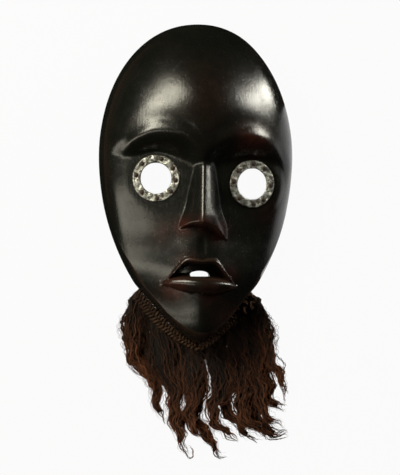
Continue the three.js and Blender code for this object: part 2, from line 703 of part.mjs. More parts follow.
// A ring and its tacks, laid on the tilted seat round one eye.
function eyeFittings(side, angles) {
  const socket = EYES[side];
  const turn = new THREE.Quaternion().setFromUnitVectors(Z_AXIS, socket.normal);
  const fittings = new THREE.Group();
  fittings.position.set(socket.x, socket.y, socket.height(socket.x, socket.y));
  fittings.quaternion.copy(turn);
  const ring = named(`${side}_eye_ring`, eyeRing(angles), sheet);
  ring.position.z = GAP;
  fittings.add(ring);
  angles.forEach((degrees, k) => {
    const angle = THREE.MathUtils.degToRad(degrees);
    const pin = named(`${side}_eye_tack_${k + 1}`, tack(), iron);
    pin.position.set(TACK_CIRCLE * Math.cos(angle), TACK_CIRCLE * Math.sin(angle), RING_THICKNESS + 2 * GAP);
    fittings.add(pin);
  });
  return fittings;
}

const mask = new THREE.Group();
mask.add(named('wooden_face', woodenFace(), wood));
mask.add(eyeFittings('left', LEFT_TACKS));
mask.add(eyeFittings('right', RIGHT_TACKS));
mask.add(named('chin_plait', chinPlait(), cord));
LOCKS.forEach((lock, k) => {
  mask.add(named(`beard_lock_${String(k + 1).padStart(2, '0')}`, beardLock(lock), fibre));
});

// Put the origin on the floor under the middle of the whole piece.
mask.updateMatrixWorld(true);
const bounds = new THREE.Box3().setFromObject(mask);
const middle = bounds.getCenter(new THREE.Vector3());
const placed = new THREE.Group();
mask.position.set(-middle.x, -middle.y, -bounds.min.z);
placed.add(mask);

export default placed;
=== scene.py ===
import math

import bpy
import numpy as np
from mathutils import Matrix, Vector


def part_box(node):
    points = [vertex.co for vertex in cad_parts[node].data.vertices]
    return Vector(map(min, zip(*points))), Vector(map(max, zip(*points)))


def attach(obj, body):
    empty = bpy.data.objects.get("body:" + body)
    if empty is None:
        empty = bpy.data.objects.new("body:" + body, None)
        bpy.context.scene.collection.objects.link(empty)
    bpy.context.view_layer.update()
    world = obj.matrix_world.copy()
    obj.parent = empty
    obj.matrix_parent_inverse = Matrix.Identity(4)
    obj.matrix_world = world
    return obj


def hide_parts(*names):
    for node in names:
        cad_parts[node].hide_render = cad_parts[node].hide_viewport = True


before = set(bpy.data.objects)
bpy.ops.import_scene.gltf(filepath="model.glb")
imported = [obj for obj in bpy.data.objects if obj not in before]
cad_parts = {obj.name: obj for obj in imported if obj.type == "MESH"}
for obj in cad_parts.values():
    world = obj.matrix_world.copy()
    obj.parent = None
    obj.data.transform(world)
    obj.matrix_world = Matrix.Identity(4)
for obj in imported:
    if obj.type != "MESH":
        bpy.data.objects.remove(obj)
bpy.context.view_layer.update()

# A carved wooden face mask with metal eye rings and a fibre beard, lying face up on a pale floor.
# Sizes are millimetres from the middle of the mask's widest line, X right, Y to the crown, Z out.
MM = 0.001

# The seeds of the random draws.
RING_SEED = 20
TACK_SEED = 40
PLAIT_SEED = 7
LOCK_SEED = 100

# The rim outline: half an ellipse above the widest line, a pointed half below it.
FACE_HALF_WIDTH = 72
CROWN_REACH = 99
CHIN_REACH = 138
CHIN_TAPER = 0.25
CHIN_PINCH = 0.08
CROWN_FULLNESS = 0.03
AXIS_LEAN = 1.6
LEAN_IN_THE_MIDDLE = 0.15
PINCH_FROM = 0.66
PINCH_TO = 0.8
WIDEST_BLEND = 0.25

# The height of the carved front above the rim, and the thickness of the wood.
FACE_DEPTH = 54
SIDE_FULLNESS = 1.25
CHEEK_FULLNESS = 0.85
CHEEK_FULLNESS_BELOW = -45
SIDE_FULLNESS_ABOVE = 15
FOREHEAD_SWELL = 7
SWELL_MIDDLE = 48
SWELL_HEIGHT = 36
SWELL_WIDTH = 34
RIM_WIDTH = 7
WALL = 7
MOUTH_WALL = 14
CHIN_RIM_SHARE = 1.7
MOUTH_HOLLOW_SHARE = 1.35
HOLLOW_BLEND = 9
MOUTH_HOLLOW_BLEND = 6

# The steepness of the side wall against the vault, at the sides and at the chin.
SIDE_STEEPNESS = 1.6
CHIN_STEEPNESS = 2.4
CHIN_STEEPNESS_FROM = -85
CHIN_STEEPNESS_TO = -115
SHOULDER = 2

# The carver's slant: features drop a little towards the viewer's right.
SLANT = 0.058

# The eyes: round openings in a tilted, recessed plane, each in a ring of sheet metal.
EYE_SPACING = 35.4
EYE_SHIFT = 2.6
EYE_LINE = -17.5
EYE_HEIGHT = 35
EYE_TILT = math.radians(14)
PLANE_RISE = 0.03
PLANE_ROUNDING = 3
EYE_HOLE_RADIUS = 12.6
EYE_HOLE_SIDES = 96
RING_INNER_RADIUS = 11.4
RING_OUTER_RADIUS = 17.4
RING_THICKNESS = 1
SEAT_MARGIN = 1.1
SEAT_BLEND = 8

# The tacks that pin the rings, at the angles they were driven, in degrees.
TACK_CIRCLE = 14.7
TACK_HEAD_RADIUS = 1.35
TACK_HEAD_HEIGHT = 0.8
LEFT_TACKS = [74, 30, -6, -41, -86, -135, 171, 134]
RIGHT_TACKS = [87, 50, -5, -53, -86, -134, 174, 140]

# The brow and the nose.
BROW_TIP = 5
BROW_EDGE = 4
BROW_LEVEL = -12
BROW_POINT_RISE = 10
CHEEK_EDGE = 12
CHEEK_LEVEL = -64
BROW_DIP = 7
BROW_DIP_MIDDLE = 1.5
BROW_DIP_WIDTH = 9
BROW_POINT_END = -8
BROW_POINT_FLARE = 0.02
BROW_POINT_LEVEL = 20
BROW_POINT_BLEND = 6
BROW_POINT_FOOT = -4
BROW_POINT_DROP = 3
BROW_POINT_ROUNDING = 3
FOREHEAD_BLEND = 5
TEMPLE_ROUNDING = 9
TEMPLE_FROM = 40
TEMPLE_TO = 60
TEMPLE_HEIGHT = 18
BROW_ROLL = 1.2
BROW_ROLL_WIDTH = 4.5
BROW_ROLL_STARTS = (2, 14)
BROW_ROLL_ENDS = (54, 64)
BROW_GROOVE_SHARE = 0.35
BROW_GROOVE_RISE = 10
BROW_GROOVE_WIDTH = 6
BROW_CREST = [(0, 3), (10, 11), (20, 16), (32, 17.5), (42, 16), (52, 9.5), (60, 0)]
BROW_PROFILE = [(-12, 0), (-3, 0.1), (0, 1.6), (10, 9.8), (13, 12), (17, 13.8), (21, 14.5),
                (25, 16), (34, 24), (60, 50)]
NOSE_ROOT = 2
NOSE_BASE = -50
NOSE_ROOT_HEIGHT = 46
NOSE_TIP_HEIGHT = 60.5
NOSE_ROOT_SHIFT = 1.6
NOSE_TIP_SHIFT = -0.6
NOSE_ROOT_HALF_WIDTH = 8.2
NOSE_TIP_HALF_WIDTH = 10.6
NOSE_TIP_DROP = 1.5
NOSE_TIP_DROPS = (0.84, 1.06)
NOSTRIL_FLARE = 5.6
NOSTRIL_FLARES = (0.7, 1.1)
LEFT_FACET = 1.2
RIGHT_FACET = 0.58
NOSE_ROUNDING = 1.5
NOSE_SIDE_ROUNDING = 5
NOSE_STEEPNESS = 2.6
NOSE_BASE_ARCH = 0.027
NOSE_BASE_TILT = 0.08
NOSE_BASE_RISE = 1.2
NOSE_BASE_STEEPNESS = 5
NOSE_BASE_ROUNDING = 1.8
NOSE_ROOT_SLOPE = 0.9
NOSE_ROOT_ROUNDING = 8
NOSE_BLEND = 3

# The mouth: two lips, the hollow between them and the groove above.
MOUTH_CORNER = -95
MOUTH_HALF_WIDTH = 28.9
MOUTH_SHIFT = -0.8
LIP_TOP = -73
LIP_HEIGHT = 4.6
MOUTH_DEPTH = 8.5
MOUTH_ROUNDING = 0.7
UPPER_LIP = 5
LOWER_LIP = 6
LOWER_LIP_LIFT = 1
LOWER_LIP_SHARE = 1.4
LOWER_LIP_BENDS = (4, 2.4)
LIP_ROUNDNESS = 0.55
BOW_DEPTH = 1.8
BOW_WIDTH = 4.5
LIP_BEND = 12
LIP_SLOPE = 1.38
LIP_INNER_BEND = 11.5
LIP_INNER_SLOPE = 1.1
LIP_BLEND = 4
LIP_NARROWEST = 2.2
LIP_FADE = 8
UPPER_LIP_WALL = (-0.2, 2.6)
LOWER_LIP_WALL = (-0.4, 2.4)
MOUTH_CORNER_ROOM = 5
GROOVE_DEPTH = 0.9
GROOVE_WIDTH = 2.6
GROOVE_SHIFT = 0.8
GROOVE_TOP = (-54, -62)
GROOVE_FOOT = (-2, 4)
SLOT_WIDTH = 14.5
SLOT_HEIGHT = 4.1
SLOT_CENTRE = (-1.2, -85.5)
SLOT_ROUNDNESS = 0.6
SLOT_SIDES = 24

# The raised ground of mouth, cheeks and chin: half-width, height and side slope down the face.
MUZZLE_ROUNDING = 5
MUZZLE_SHIFT = 1
MUZZLE_EDGE = 9
MUZZLE_CURVE = 0.0015
MUZZLE_BLEND = 14
MUZZLE_WIDTHS = [(44, 4), (58, 7), (74, 9), (86, 9), (96, 7), (112, 3), (138, 0)]
MUZZLE_HEIGHTS = [(10, 20), (38, 37), (48, 40), (58, 42), (66, 44), (74, 45.5), (82, 47),
                  (90, 47.5), (104, 47.6), (118, 47), (128, 45), (134, 39), (138, 14)]
MUZZLE_SLOPES = [(50, 0.48), (80, 0.5), (108, 0.66), (138, 0.8)]

# The small cord holes through the side wall, just above the rim.
CORD_HOLES = 26
CORD_HOLE_RADIUS = 1.45
CORD_HOLE_LEVEL = 5
CORD_HOLE_SIDES = 16

# The plait tied round the chin, between two places on the rim. Its half-width and half-height are
# given where it lies flat, where it is rolled on edge, and as what the knot adds.
PLAIT_START = math.radians(224.5)
PLAIT_END = math.radians(314)
KNOT_AT = 0.955
KNOT_LENGTH = 0.03
PLAIT_SECTION = [(4.5, 2.6, 1.6), (2.2, 3, 1.1)]
PLAIT_ROLLS = (0.2, 0.5)
PLAIT_END_LENGTH = 0.025
PLAIT_END_SIZE = 0.15

# The locks that hang from it, in two layers over the floor.
LOCK_HALF_THICKNESS = 2
LOCK_LEVELS = [2.3, 6.8]
LOCK_TAPER = [(0, 0.3), (0.16, 0.88), (0.36, 1), (0.6, 0.84), (0.85, 0.5), (1, 0.1)]

# The free room left between neighbouring pieces, and the least height over the floor.
GAP = 0.3
FLOOR_ROOM = 0.2

# The locks: place along the plait, layer, half-width, and the fall from there in steps of x and y.
LOCKS = [
    (0.01, 1, 5.4, [(-1, -9), (-1.5, -22), (0, -38), (6, -50), (12, -61), (16, -71)]),
    (0.09, 0, 6.4, [(0, -12), (2, -26), (6, -41), (12, -54), (16, -70), (21, -86)]),
    (0.2, 1, 5.8, [(5, -15), (11, -32), (17, -49), (20, -64), (20, -78), (24, -91), (32, -98)]),
    (0.32, 0, 5.4, [(4, -12), (7, -25), (11, -37), (11, -49), (12, -62), (18, -76)]),
    (0.42, 1, 5, [(6, -10), (9, -22), (9, -35), (9, -48), (12, -61), (19, -73)]),
    (0.5, 0, 5, [(4, -12), (5, -25), (4, -38), (5, -52), (12, -63), (20, -73), (28, -78)]),
    (0.58, 1, 5, [(4, -13), (7, -23), (4, -33), (0, -41), (2, -51), (9, -61), (19, -71)]),
    (0.65, 0, 4.4, [(6, -18), (6, -33), (4, -44), (7, -52), (12, -62), (19, -70), (29, -74)]),
    (0.72, 1, 4.6, [(8, -19), (9, -34), (9, -49), (12, -62), (19, -72), (31, -78)]),
    (0.79, 0, 5, [(7, -20), (8, -39), (9, -56), (14, -69), (25, -79), (40, -84)]),
    (0.86, 1, 5, [(6, -19), (8, -39), (10, -56), (15, -70), (23, -80), (30, -86)]),
    (0.93, 0, 5, [(7, -17), (10, -36), (11, -53), (14, -67), (22, -73), (29, -76)]),
    (0.985, 1, 4.4, [(4, -8), (6, -20), (9, -34), (12, -47), (17, -59), (23, -72)]),
]

# Strands that stray from a lock, as points in x and y from the middle of the rim.
STRAYS = {
    3: [[(-14, -196), (-13, -207), (-9, -217), (-5, -222), (-2.5, -220), (-4, -214), (-9, -211)]],
    8: [[(23, -180), (25, -190), (29, -198), (37, -205), (50, -210)]],
    10: [[(48, -200), (53, -208), (60, -209), (70, -207)]],
    11: [[(46, -174), (50, -179.5), (56, -180.5), (62, -182.5), (68, -183)]],
    12: [[(56, -142), (62, -148), (66.5, -153), (66, -157), (62, -156.5), (63, -151)],
         [(60, -160), (64, -168), (66, -176), (66.5, -184)]],
}


Z_AXIS = np.array([0.0, 0.0, 1.0])


def soft_min(a, b, blend):
    """The smaller of two heights, blended over a width."""
    overlap = np.maximum(blend - np.abs(a - b), 0) / blend
    return np.minimum(a, b) - overlap * overlap * blend / 4


def soft_max(a, b, blend):
    return -soft_min(-a, -b, blend)


def ramp(start, end, at):
    """A smooth step from 0 to 1."""
    t = np.clip((at - start) / (end - start), 0, 1)
    return t * t * (3 - 2 * t)


def lerp(a, b, t):
    return a + (b - a) * t


def near(at, centre, width):
    return np.exp(-(((at - centre) / width) ** 2))


def through(points, at):
    """A smooth curve through pairs of position and value."""
    places, values = np.array(points, float).T
    slopes = np.gradient(values, places)
    slopes[1:-1] = (values[2:] - values[:-2]) / (places[2:] - places[:-2])
    at = np.clip(at, places[0], places[-1])
    i = np.clip(np.searchsorted(places, at, side="right") - 1, 0, len(places) - 2)
    span = places[i + 1] - places[i]
    t = (at - places[i]) / span
    bend = t * (1 - t) * ((1 - t) * slopes[i] - t * slopes[i + 1]) * span
    return lerp(values[i], values[i + 1], t * t * (3 - 2 * t)) + bend


# The oval plan: a unit disc (p, q) stretched to an outline of half-width, crown and chin.
OUTER = (FACE_HALF_WIDTH, CROWN_REACH, CHIN_REACH)
INNER = (FACE_HALF_WIDTH - RIM_WIDTH, CROWN_REACH - RIM_WIDTH, CHIN_REACH - CHIN_RIM_SHARE * RIM_WIDTH)


def narrowing(q):
    room = np.maximum(1 - q * q, 1e-9)
    pinch = 1 - CHIN_PINCH * ramp(PINCH_FROM, PINCH_TO, -q)
    return np.where(q < 0, pinch * room**CHIN_TAPER, room**-CROWN_FULLNESS)


def lean(q):
    """The outline leans a little to the viewer's right at both ends."""
    return AXIS_LEAN * lerp(LEAN_IN_THE_MIDDLE, 1, np.abs(q) ** 5)


def plan_height(outline, q):
    return q * lerp(outline[2], outline[1], ramp(-WIDEST_BLEND, WIDEST_BLEND, q))


def plan_point(outline, p, q):
    return outline[0] * p * narrowing(q) + lean(q), plan_height(outline, q)


def room_at(x, y):
    """How far inside the rim a place is: 1 in the middle, 0 at the rim."""
    table = np.linspace(-1, 1, 2001)
    q = np.interp(y, plan_height(OUTER, table), table)
    p = (x - lean(q)) / (OUTER[0] * narrowing(q))
    return np.clip(1 - p * p - q * q, 0, 1)


# The middle of the widest line of the rim, on the floor.
wood_low, wood_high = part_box("wooden_face")
ORIGIN = np.array([(wood_low.x + wood_high.x) / 2 - lean(0) * MM, wood_high.y - CROWN_REACH * MM, wood_low.z])


def vault(x, y, room):
    """The vault that the whole face is carved from."""
    swell = FOREHEAD_SWELL * near(y, SWELL_MIDDLE, SWELL_HEIGHT) * near(x, 0, SWELL_WIDTH)
    fullness = lerp(CHEEK_FULLNESS, SIDE_FULLNESS, ramp(CHEEK_FULLNESS_BELOW, SIDE_FULLNESS_ABOVE, y))
    return FACE_DEPTH * np.sqrt(1 - (1 - room) ** fullness) + swell * room


def recess(x, y):
    """The plane of eyes and cheeks, the slope up from it, and the roll of the brow above."""
    outward = np.hypot(x, PLANE_ROUNDING) - EYE_SPACING
    plane = EYE_HEIGHT - math.tan(EYE_TILT) * outward + PLANE_RISE * (y - EYE_LINE)
    return plane + through(BROW_PROFILE, y + BROW_DIP * near(x, BROW_DIP_MIDDLE, BROW_DIP_WIDTH))


def brow_point(x, y):
    """The middle of the forehead, which comes down between the brows in a V."""
    rise = np.maximum(y - BROW_TIP, BROW_POINT_END)
    half = rise + BROW_POINT_FLARE * rise * np.abs(rise)
    top = NOSE_ROOT_HEIGHT + BROW_POINT_RISE * ramp(BROW_LEVEL, BROW_POINT_LEVEL, y)
    sides = soft_max(np.abs(x - EYE_SHIFT) - half, 0, BROW_POINT_BLEND)
    foot = soft_max(BROW_POINT_FOOT - y, 0, BROW_POINT_ROUNDING)
    return top - sides - BROW_POINT_DROP * foot


def brow_roll(x, y):
    """The slight swell along each brow and the shallow groove above it."""
    side = np.abs(x - EYE_SHIFT)
    crest = through(BROW_CREST, side)
    stretch = ramp(*BROW_ROLL_STARTS, side) * (1 - ramp(*BROW_ROLL_ENDS, side))
    groove = near(y, crest + BROW_GROOVE_RISE, BROW_GROOVE_WIDTH)
    return stretch * BROW_ROLL * (near(y, crest, BROW_ROLL_WIDTH) - BROW_GROOVE_SHARE * groove)


def nose(x, y):
    """A long nose with a rounded ridge, two lit facets, steep sides and drooping wings."""
    down = (NOSE_ROOT - y) / (NOSE_ROOT - NOSE_BASE)
    t = np.clip(down, 0, 1)
    across = x - lerp(NOSE_ROOT_SHIFT, NOSE_TIP_SHIFT, t)
    flare = NOSTRIL_FLARE * ramp(*NOSTRIL_FLARES, down)
    half = lerp(NOSE_ROOT_HALF_WIDTH, NOSE_TIP_HALF_WIDTH, t) + flare
    ridge = lerp(NOSE_ROOT_HEIGHT, NOSE_TIP_HEIGHT, t) - NOSE_TIP_DROP * ramp(*NOSE_TIP_DROPS, down)
    slope = np.where(across < 0, LEFT_FACET, RIGHT_FACET)
    facet = slope * (np.hypot(across, NOSE_ROUNDING) - NOSE_ROUNDING)
    sides = NOSE_STEEPNESS * soft_max(np.abs(across) - half, 0, NOSE_SIDE_ROUNDING)
    base = NOSE_BASE + NOSE_BASE_RISE - NOSE_BASE_ARCH * across**2 - NOSE_BASE_TILT * across
    above = NOSE_ROOT_SLOPE * soft_max(y - NOSE_ROOT, 0, NOSE_ROOT_ROUNDING)
    below = NOSE_BASE_STEEPNESS * soft_max(base - y, 0, NOSE_BASE_ROUNDING)
    return ridge - facet - sides - above - below


def muzzle(x, y):
    across = np.hypot(x - MUZZLE_SHIFT, MUZZLE_ROUNDING)
    beside = soft_max(across - through(MUZZLE_WIDTHS, -y), 0, MUZZLE_EDGE)
    sides = through(MUZZLE_SLOPES, -y) * beside
    return through(MUZZLE_HEIGHTS, -y) - sides - MUZZLE_CURVE * across**2


def lips(x, y):
    """Open lips: two rounded bands that meet at the corners, and the hollow between them."""
    across = np.hypot(x - MOUTH_SHIFT, MOUTH_ROUNDING)
    m = np.clip(across / MOUTH_HALF_WIDTH, 0, 1)
    bow = LIP_TOP - BOW_DEPTH * near(across, 0, BOW_WIDTH)
    upper_outside = soft_min(bow, LIP_TOP - (across - LIP_BEND) * LIP_SLOPE, LIP_BLEND)
    inner_top = LIP_TOP - UPPER_LIP
    upper_inside = soft_min(inner_top, inner_top - (across - LIP_INNER_BEND) * LIP_INNER_SLOPE, LIP_BLEND)
    inner_bend, outer_bend = LOWER_LIP_BENDS
    lower_inside = MOUTH_CORNER + LOWER_LIP_LIFT + LOWER_LIP * (1 - m**inner_bend)
    lower_outside = MOUTH_CORNER + LOWER_LIP_LIFT - LOWER_LIP * (1 - m**outer_bend)

    def roll(at):
        return np.clip(4 * at * (1 - at), 0, 1) ** LIP_ROUNDNESS

    upper_at = (upper_outside - y) / np.maximum(upper_outside - upper_inside, LIP_NARROWEST)
    lower_at = (y - lower_outside) / np.maximum(lower_inside - lower_outside, LIP_NARROWEST)
    upper = LIP_HEIGHT * roll(upper_at)
    lower = LOWER_LIP_SHARE * LIP_HEIGHT * roll(lower_at)
    between = ramp(*UPPER_LIP_WALL, upper_inside - y) * ramp(*LOWER_LIP_WALL, y - lower_inside)
    to_corner = MOUTH_HALF_WIDTH - across
    hollow = MOUTH_DEPTH * between * ramp(0, MOUTH_CORNER_ROOM, to_corner)
    groove_ends = ramp(*GROOVE_TOP, y) * ramp(*GROOVE_FOOT, y - LIP_TOP)
    groove = GROOVE_DEPTH * near(x, GROOVE_SHIFT, GROOVE_WIDTH) * groove_ends
    return np.maximum(upper, lower) * ramp(-0.5, LIP_FADE, to_corner) - hollow - groove


def seat_height(side, x, y):
    """Height of the tilted seat of an eye ring, on the left (-1) or the right (1)."""
    outward = math.tan(EYE_TILT) * (side * x - EYE_SPACING)
    return EYE_HEIGHT - outward + PLANE_RISE * (y + SLANT * x - EYE_LINE)


def eye_centre(side):
    x = side * EYE_SPACING + EYE_SHIFT
    y = EYE_LINE - SLANT * x
    return np.array([x, y, seat_height(side, x, y)])


def seat_normal(side):
    normal = np.array([side * math.tan(EYE_TILT) - PLANE_RISE * SLANT, -PLANE_RISE, 1.0])
    return normal / np.linalg.norm(normal)


def front(x, y, room):
    """Height of the carved front over the plan."""
    level = y + SLANT * x
    ground = vault(x, y, room)
    carved = soft_max(recess(x, level), brow_point(x, level), FOREHEAD_BLEND)
    edge = lerp(CHEEK_EDGE, BROW_EDGE, ramp(CHEEK_LEVEL, BROW_LEVEL, level))
    temple = ramp(TEMPLE_FROM, TEMPLE_TO, np.abs(x)) * near(level, 0, TEMPLE_HEIGHT)
    z = soft_min(ground, carved, edge + TEMPLE_ROUNDING * temple)
    z = z + brow_roll(x, level)
    z = soft_max(z, muzzle(x, level), MUZZLE_BLEND)
    z = soft_max(z, nose(x, level), NOSE_BLEND)
    z = z + lips(x, level)
    seat = RING_OUTER_RADIUS + SEAT_MARGIN
    for side in (-1, 1):
        eye = eye_centre(side)
        away = np.hypot(x - eye[0], y - eye[1])
        z = lerp(seat_height(side, x, y), z, ramp(seat, seat + SEAT_BLEND, away))
    chin = ramp(CHIN_STEEPNESS_FROM, CHIN_STEEPNESS_TO, y)
    steepness = lerp(SIDE_STEEPNESS, CHIN_STEEPNESS, chin)
    return soft_min(z, steepness * ground, SHOULDER * np.sqrt(room) + 1e-9)


def back(x, y, room):
    """Height of the hollow behind the face."""
    level = y + SLANT * x
    inside = vault(x, y, room) - WALL * np.sqrt(room)
    behind_eyes = recess(x, level) - WALL
    behind_mouth = muzzle(MOUTH_HOLLOW_SHARE * x, level) - MOUTH_WALL
    upper = soft_min(inside, behind_eyes, HOLLOW_BLEND)
    lower = soft_min(behind_mouth, inside, MOUTH_HOLLOW_BLEND)
    return soft_max(upper, lower, MOUTH_HOLLOW_BLEND)


def spread(steps, weight):
    """Splits -1..1 into steps that are short where the weight is high."""
    fine = np.linspace(-1, 1, 4001)
    middle = (fine[1:] + fine[:-1]) / 2
    sums = np.concatenate([[0], np.cumsum(weight(middle))])
    return np.interp(np.linspace(0, sums[-1], steps + 1), sums, fine)


# The grids of the carving, and where their steps are short: weight, middle and width.
FRONT_GRID = (190, 250)
BACK_GRID = (60, 80)
FINE_COLUMNS = [(1.7, 0, 0.42)]
FINE_ROWS = [(3.4, -0.61, 0.12), (1.2, -0.38, 0.07), (0.6, 0.05, 0.2)]
RIM_FINENESS = 1.03
LEAST_RISE = 0.2


def fineness(places):
    """The weight of a step from -1 to 1, high towards the rim and at the given places."""
    def weight(at):
        towards_rim = 1 / np.sqrt(RIM_FINENESS - at * at)
        return sum((share * near(at, middle, width) for share, middle, width in places), towards_rim)
    return weight


def new_object(name, points, faces):
    """A mesh object from points in millimetres."""
    mesh = bpy.data.meshes.new(name)
    placed = np.asarray(points, float) * MM + ORIGIN
    mesh.from_pydata(placed.tolist(), [], [list(face) for face in faces])
    mesh.validate()
    made = bpy.data.objects.new(name, mesh)
    bpy.context.scene.collection.objects.link(made)
    return made


def mound(name, grid, outline, height, edge):
    """A solid under a height over the oval plan, closed by a flat floor at its edge."""
    columns, rows = grid
    u, v = np.meshgrid(spread(columns, fineness(FINE_COLUMNS)), spread(rows, fineness(FINE_ROWS)))
    room = (1 - u * u) * (1 - v * v)
    x, y = plan_point(outline, u * np.sqrt(1 - v * v / 2), v * np.sqrt(1 - u * u / 2))
    z = np.maximum(height(x, y, room), edge + LEAST_RISE)
    z[0], z[-1], z[:, 0], z[:, -1] = edge, edge, edge, edge
    index = np.arange((rows + 1) * (columns + 1)).reshape(rows + 1, columns + 1)
    a, b = index[:-1, :-1].ravel(), index[:-1, 1:].ravel()
    c, d = index[1:, 1:].ravel(), index[1:, :-1].ravel()
    middles = (u[:-1, :-1] + u[:-1, 1:]) * (v[:-1, :-1] + v[1:, :-1])
    rising = middles.ravel() > 0
    one = np.where(rising[:, None], np.stack([a, b, c], 1), np.stack([a, b, d], 1))
    two = np.where(rising[:, None], np.stack([a, c, d], 1), np.stack([b, c, d], 1))
    border = np.concatenate([index[0, :-1], index[:-1, -1], index[-1, :0:-1], index[:0:-1, 0]])
    middle = np.full(len(border), index.size)
    floor = np.stack([middle, np.roll(border, -1), border], 1)
    points = np.concatenate([np.stack([x, y, z], -1).reshape(-1, 3), [[0, 0, edge]]])
    return new_object(name, points, np.concatenate([one, two, floor]))


def drill(start, end, radius, sides):
    """Points and faces of a closed round bar from one point to another."""
    along = (end - start) / np.linalg.norm(end - start)
    across = np.cross(along, [0.0, 1.0, 0.0] if abs(along[1]) < 0.9 else [1.0, 0.0, 0.0])
    across /= np.linalg.norm(across)
    other = np.cross(along, across)
    turn = np.linspace(0, 2 * math.pi, sides, endpoint=False)[:, None]
    ring = radius * (np.cos(turn) * across + np.sin(turn) * other)
    points = np.concatenate([start + ring, end + ring])
    walls = [(k, (k + 1) % sides, sides + (k + 1) % sides, sides + k) for k in range(sides)]
    caps = [tuple(range(sides))[::-1], tuple(range(sides, 2 * sides))]
    return points, walls + caps


def slot_bar():
    """The narrow opening between the lips, arched above and flat below."""
    half = SLOT_WIDTH / 2
    arch = [(half * math.cos(t), SLOT_HEIGHT * (math.sin(t) ** SLOT_ROUNDNESS - 0.5))
            for t in np.linspace(0, math.pi, SLOT_SIDES)]
    low = np.array([(x + SLOT_CENTRE[0], y + SLOT_CENTRE[1], -GAP) for x, y in arch])
    count = len(low)
    walls = [(k, (k + 1) % count, count + (k + 1) % count, count + k) for k in range(count)]
    caps = [tuple(range(count))[::-1], tuple(range(count, 2 * count))]
    return np.concatenate([low, low + 2 * FACE_DEPTH * Z_AXIS]), walls + caps


def gather(parts):
    """Several sets of points and faces as one."""
    points, faces, count = [], [], 0
    for some_points, some_faces in parts:
        points.append(some_points)
        faces += [tuple(i + count for i in face) for face in some_faces]
        count += len(some_points)
    return np.concatenate(points), faces


def cut(body, cutter):
    modifier = body.modifiers.new("cut", "BOOLEAN")
    modifier.operation = "DIFFERENCE"
    modifier.solver = "MANIFOLD"
    modifier.object = cutter
    bpy.context.view_layer.objects.active = body
    bpy.ops.object.modifier_apply(modifier=modifier.name)
    bpy.data.objects.remove(cutter)


# The steps along the rim, and the share of it over which its direction is taken.
RIM_STEPS = 6000
RIM_REACH = 0.003


class RimLine:
    """The rim outline between two angles, by share of its length."""

    def __init__(self, start, end):
        angle = np.linspace(start, end, RIM_STEPS + 1)
        x, y = plan_point(OUTER, np.cos(angle), np.sin(angle))
        steps = np.hypot(np.diff(x), np.diff(y))
        self.shares = np.concatenate([[0], np.cumsum(steps)]) / steps.sum()
        self.points = np.stack([x, y, 0 * x], 1)

    def at(self, share):
        """Points there, with the directions along the rim and away from the face."""
        share = np.atleast_1d(share)

        def place(s):
            s = np.clip(s, 0, 1)
            return np.stack([np.interp(s, self.shares, column) for column in self.points.T], 1)

        along = place(share + RIM_REACH) - place(share - RIM_REACH)
        along /= np.linalg.norm(along, axis=1, keepdims=True)
        outward = np.stack([along[:, 1], -along[:, 0], 0 * share], 1)
        return place(share), along, outward


def cord_drills():
    points, _, outward = RimLine(0, 2 * math.pi).at((np.arange(CORD_HOLES) + 0.5) / CORD_HOLES)
    points[:, 2] = CORD_HOLE_LEVEL
    ends = zip(points + outward * RIM_WIDTH / 2, points - outward * 3 * RIM_WIDTH)
    return [drill(outside, inside, CORD_HOLE_RADIUS, CORD_HOLE_SIDES) for outside, inside in ends]


def give(made, name, values):
    """Keeps a number for each point of a mesh, for its finish to read."""
    kept = made.data.attributes.new(name, "FLOAT", "POINT")
    kept.data.foreach_set("value", np.asarray(values, np.float32))


def smooth(made, sharp_angle=None):
    made.data.polygons.foreach_set("use_smooth", [True] * len(made.data.polygons))
    if sharp_angle:
        made.data.set_sharp_from_angle(angle=math.radians(sharp_angle))
    made.data.update()


def settle(made, finish, slot, *nodes):
    """Gives a piece its finish and its place in the frame."""
    made.data.materials.clear()
    made.data.materials.append(finish)
    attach(made, "root")
    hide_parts(*nodes)


class Value:
    """A shader socket that adds Math nodes when it is used in a sum."""

    def __init__(self, finish, socket):
        self.finish = finish
        self.socket = socket

    def sum(self, operation, first, second):
        made = self.finish.node("ShaderNodeMath", {"operation": operation}, {0: first, 1: second})
        return Value(self.finish, made.outputs[0])

    def __add__(self, other):
        return self.sum("ADD", self, other)

    def __radd__(self, other):
        return self.sum("ADD", other, self)

    def __sub__(self, other):
        return self.sum("SUBTRACT", self, other)

    def __rsub__(self, other):
        return self.sum("SUBTRACT", other, self)

    def __mul__(self, other):
        return self.sum("MULTIPLY", self, other)

    def __rmul__(self, other):
        return self.sum("MULTIPLY", other, self)


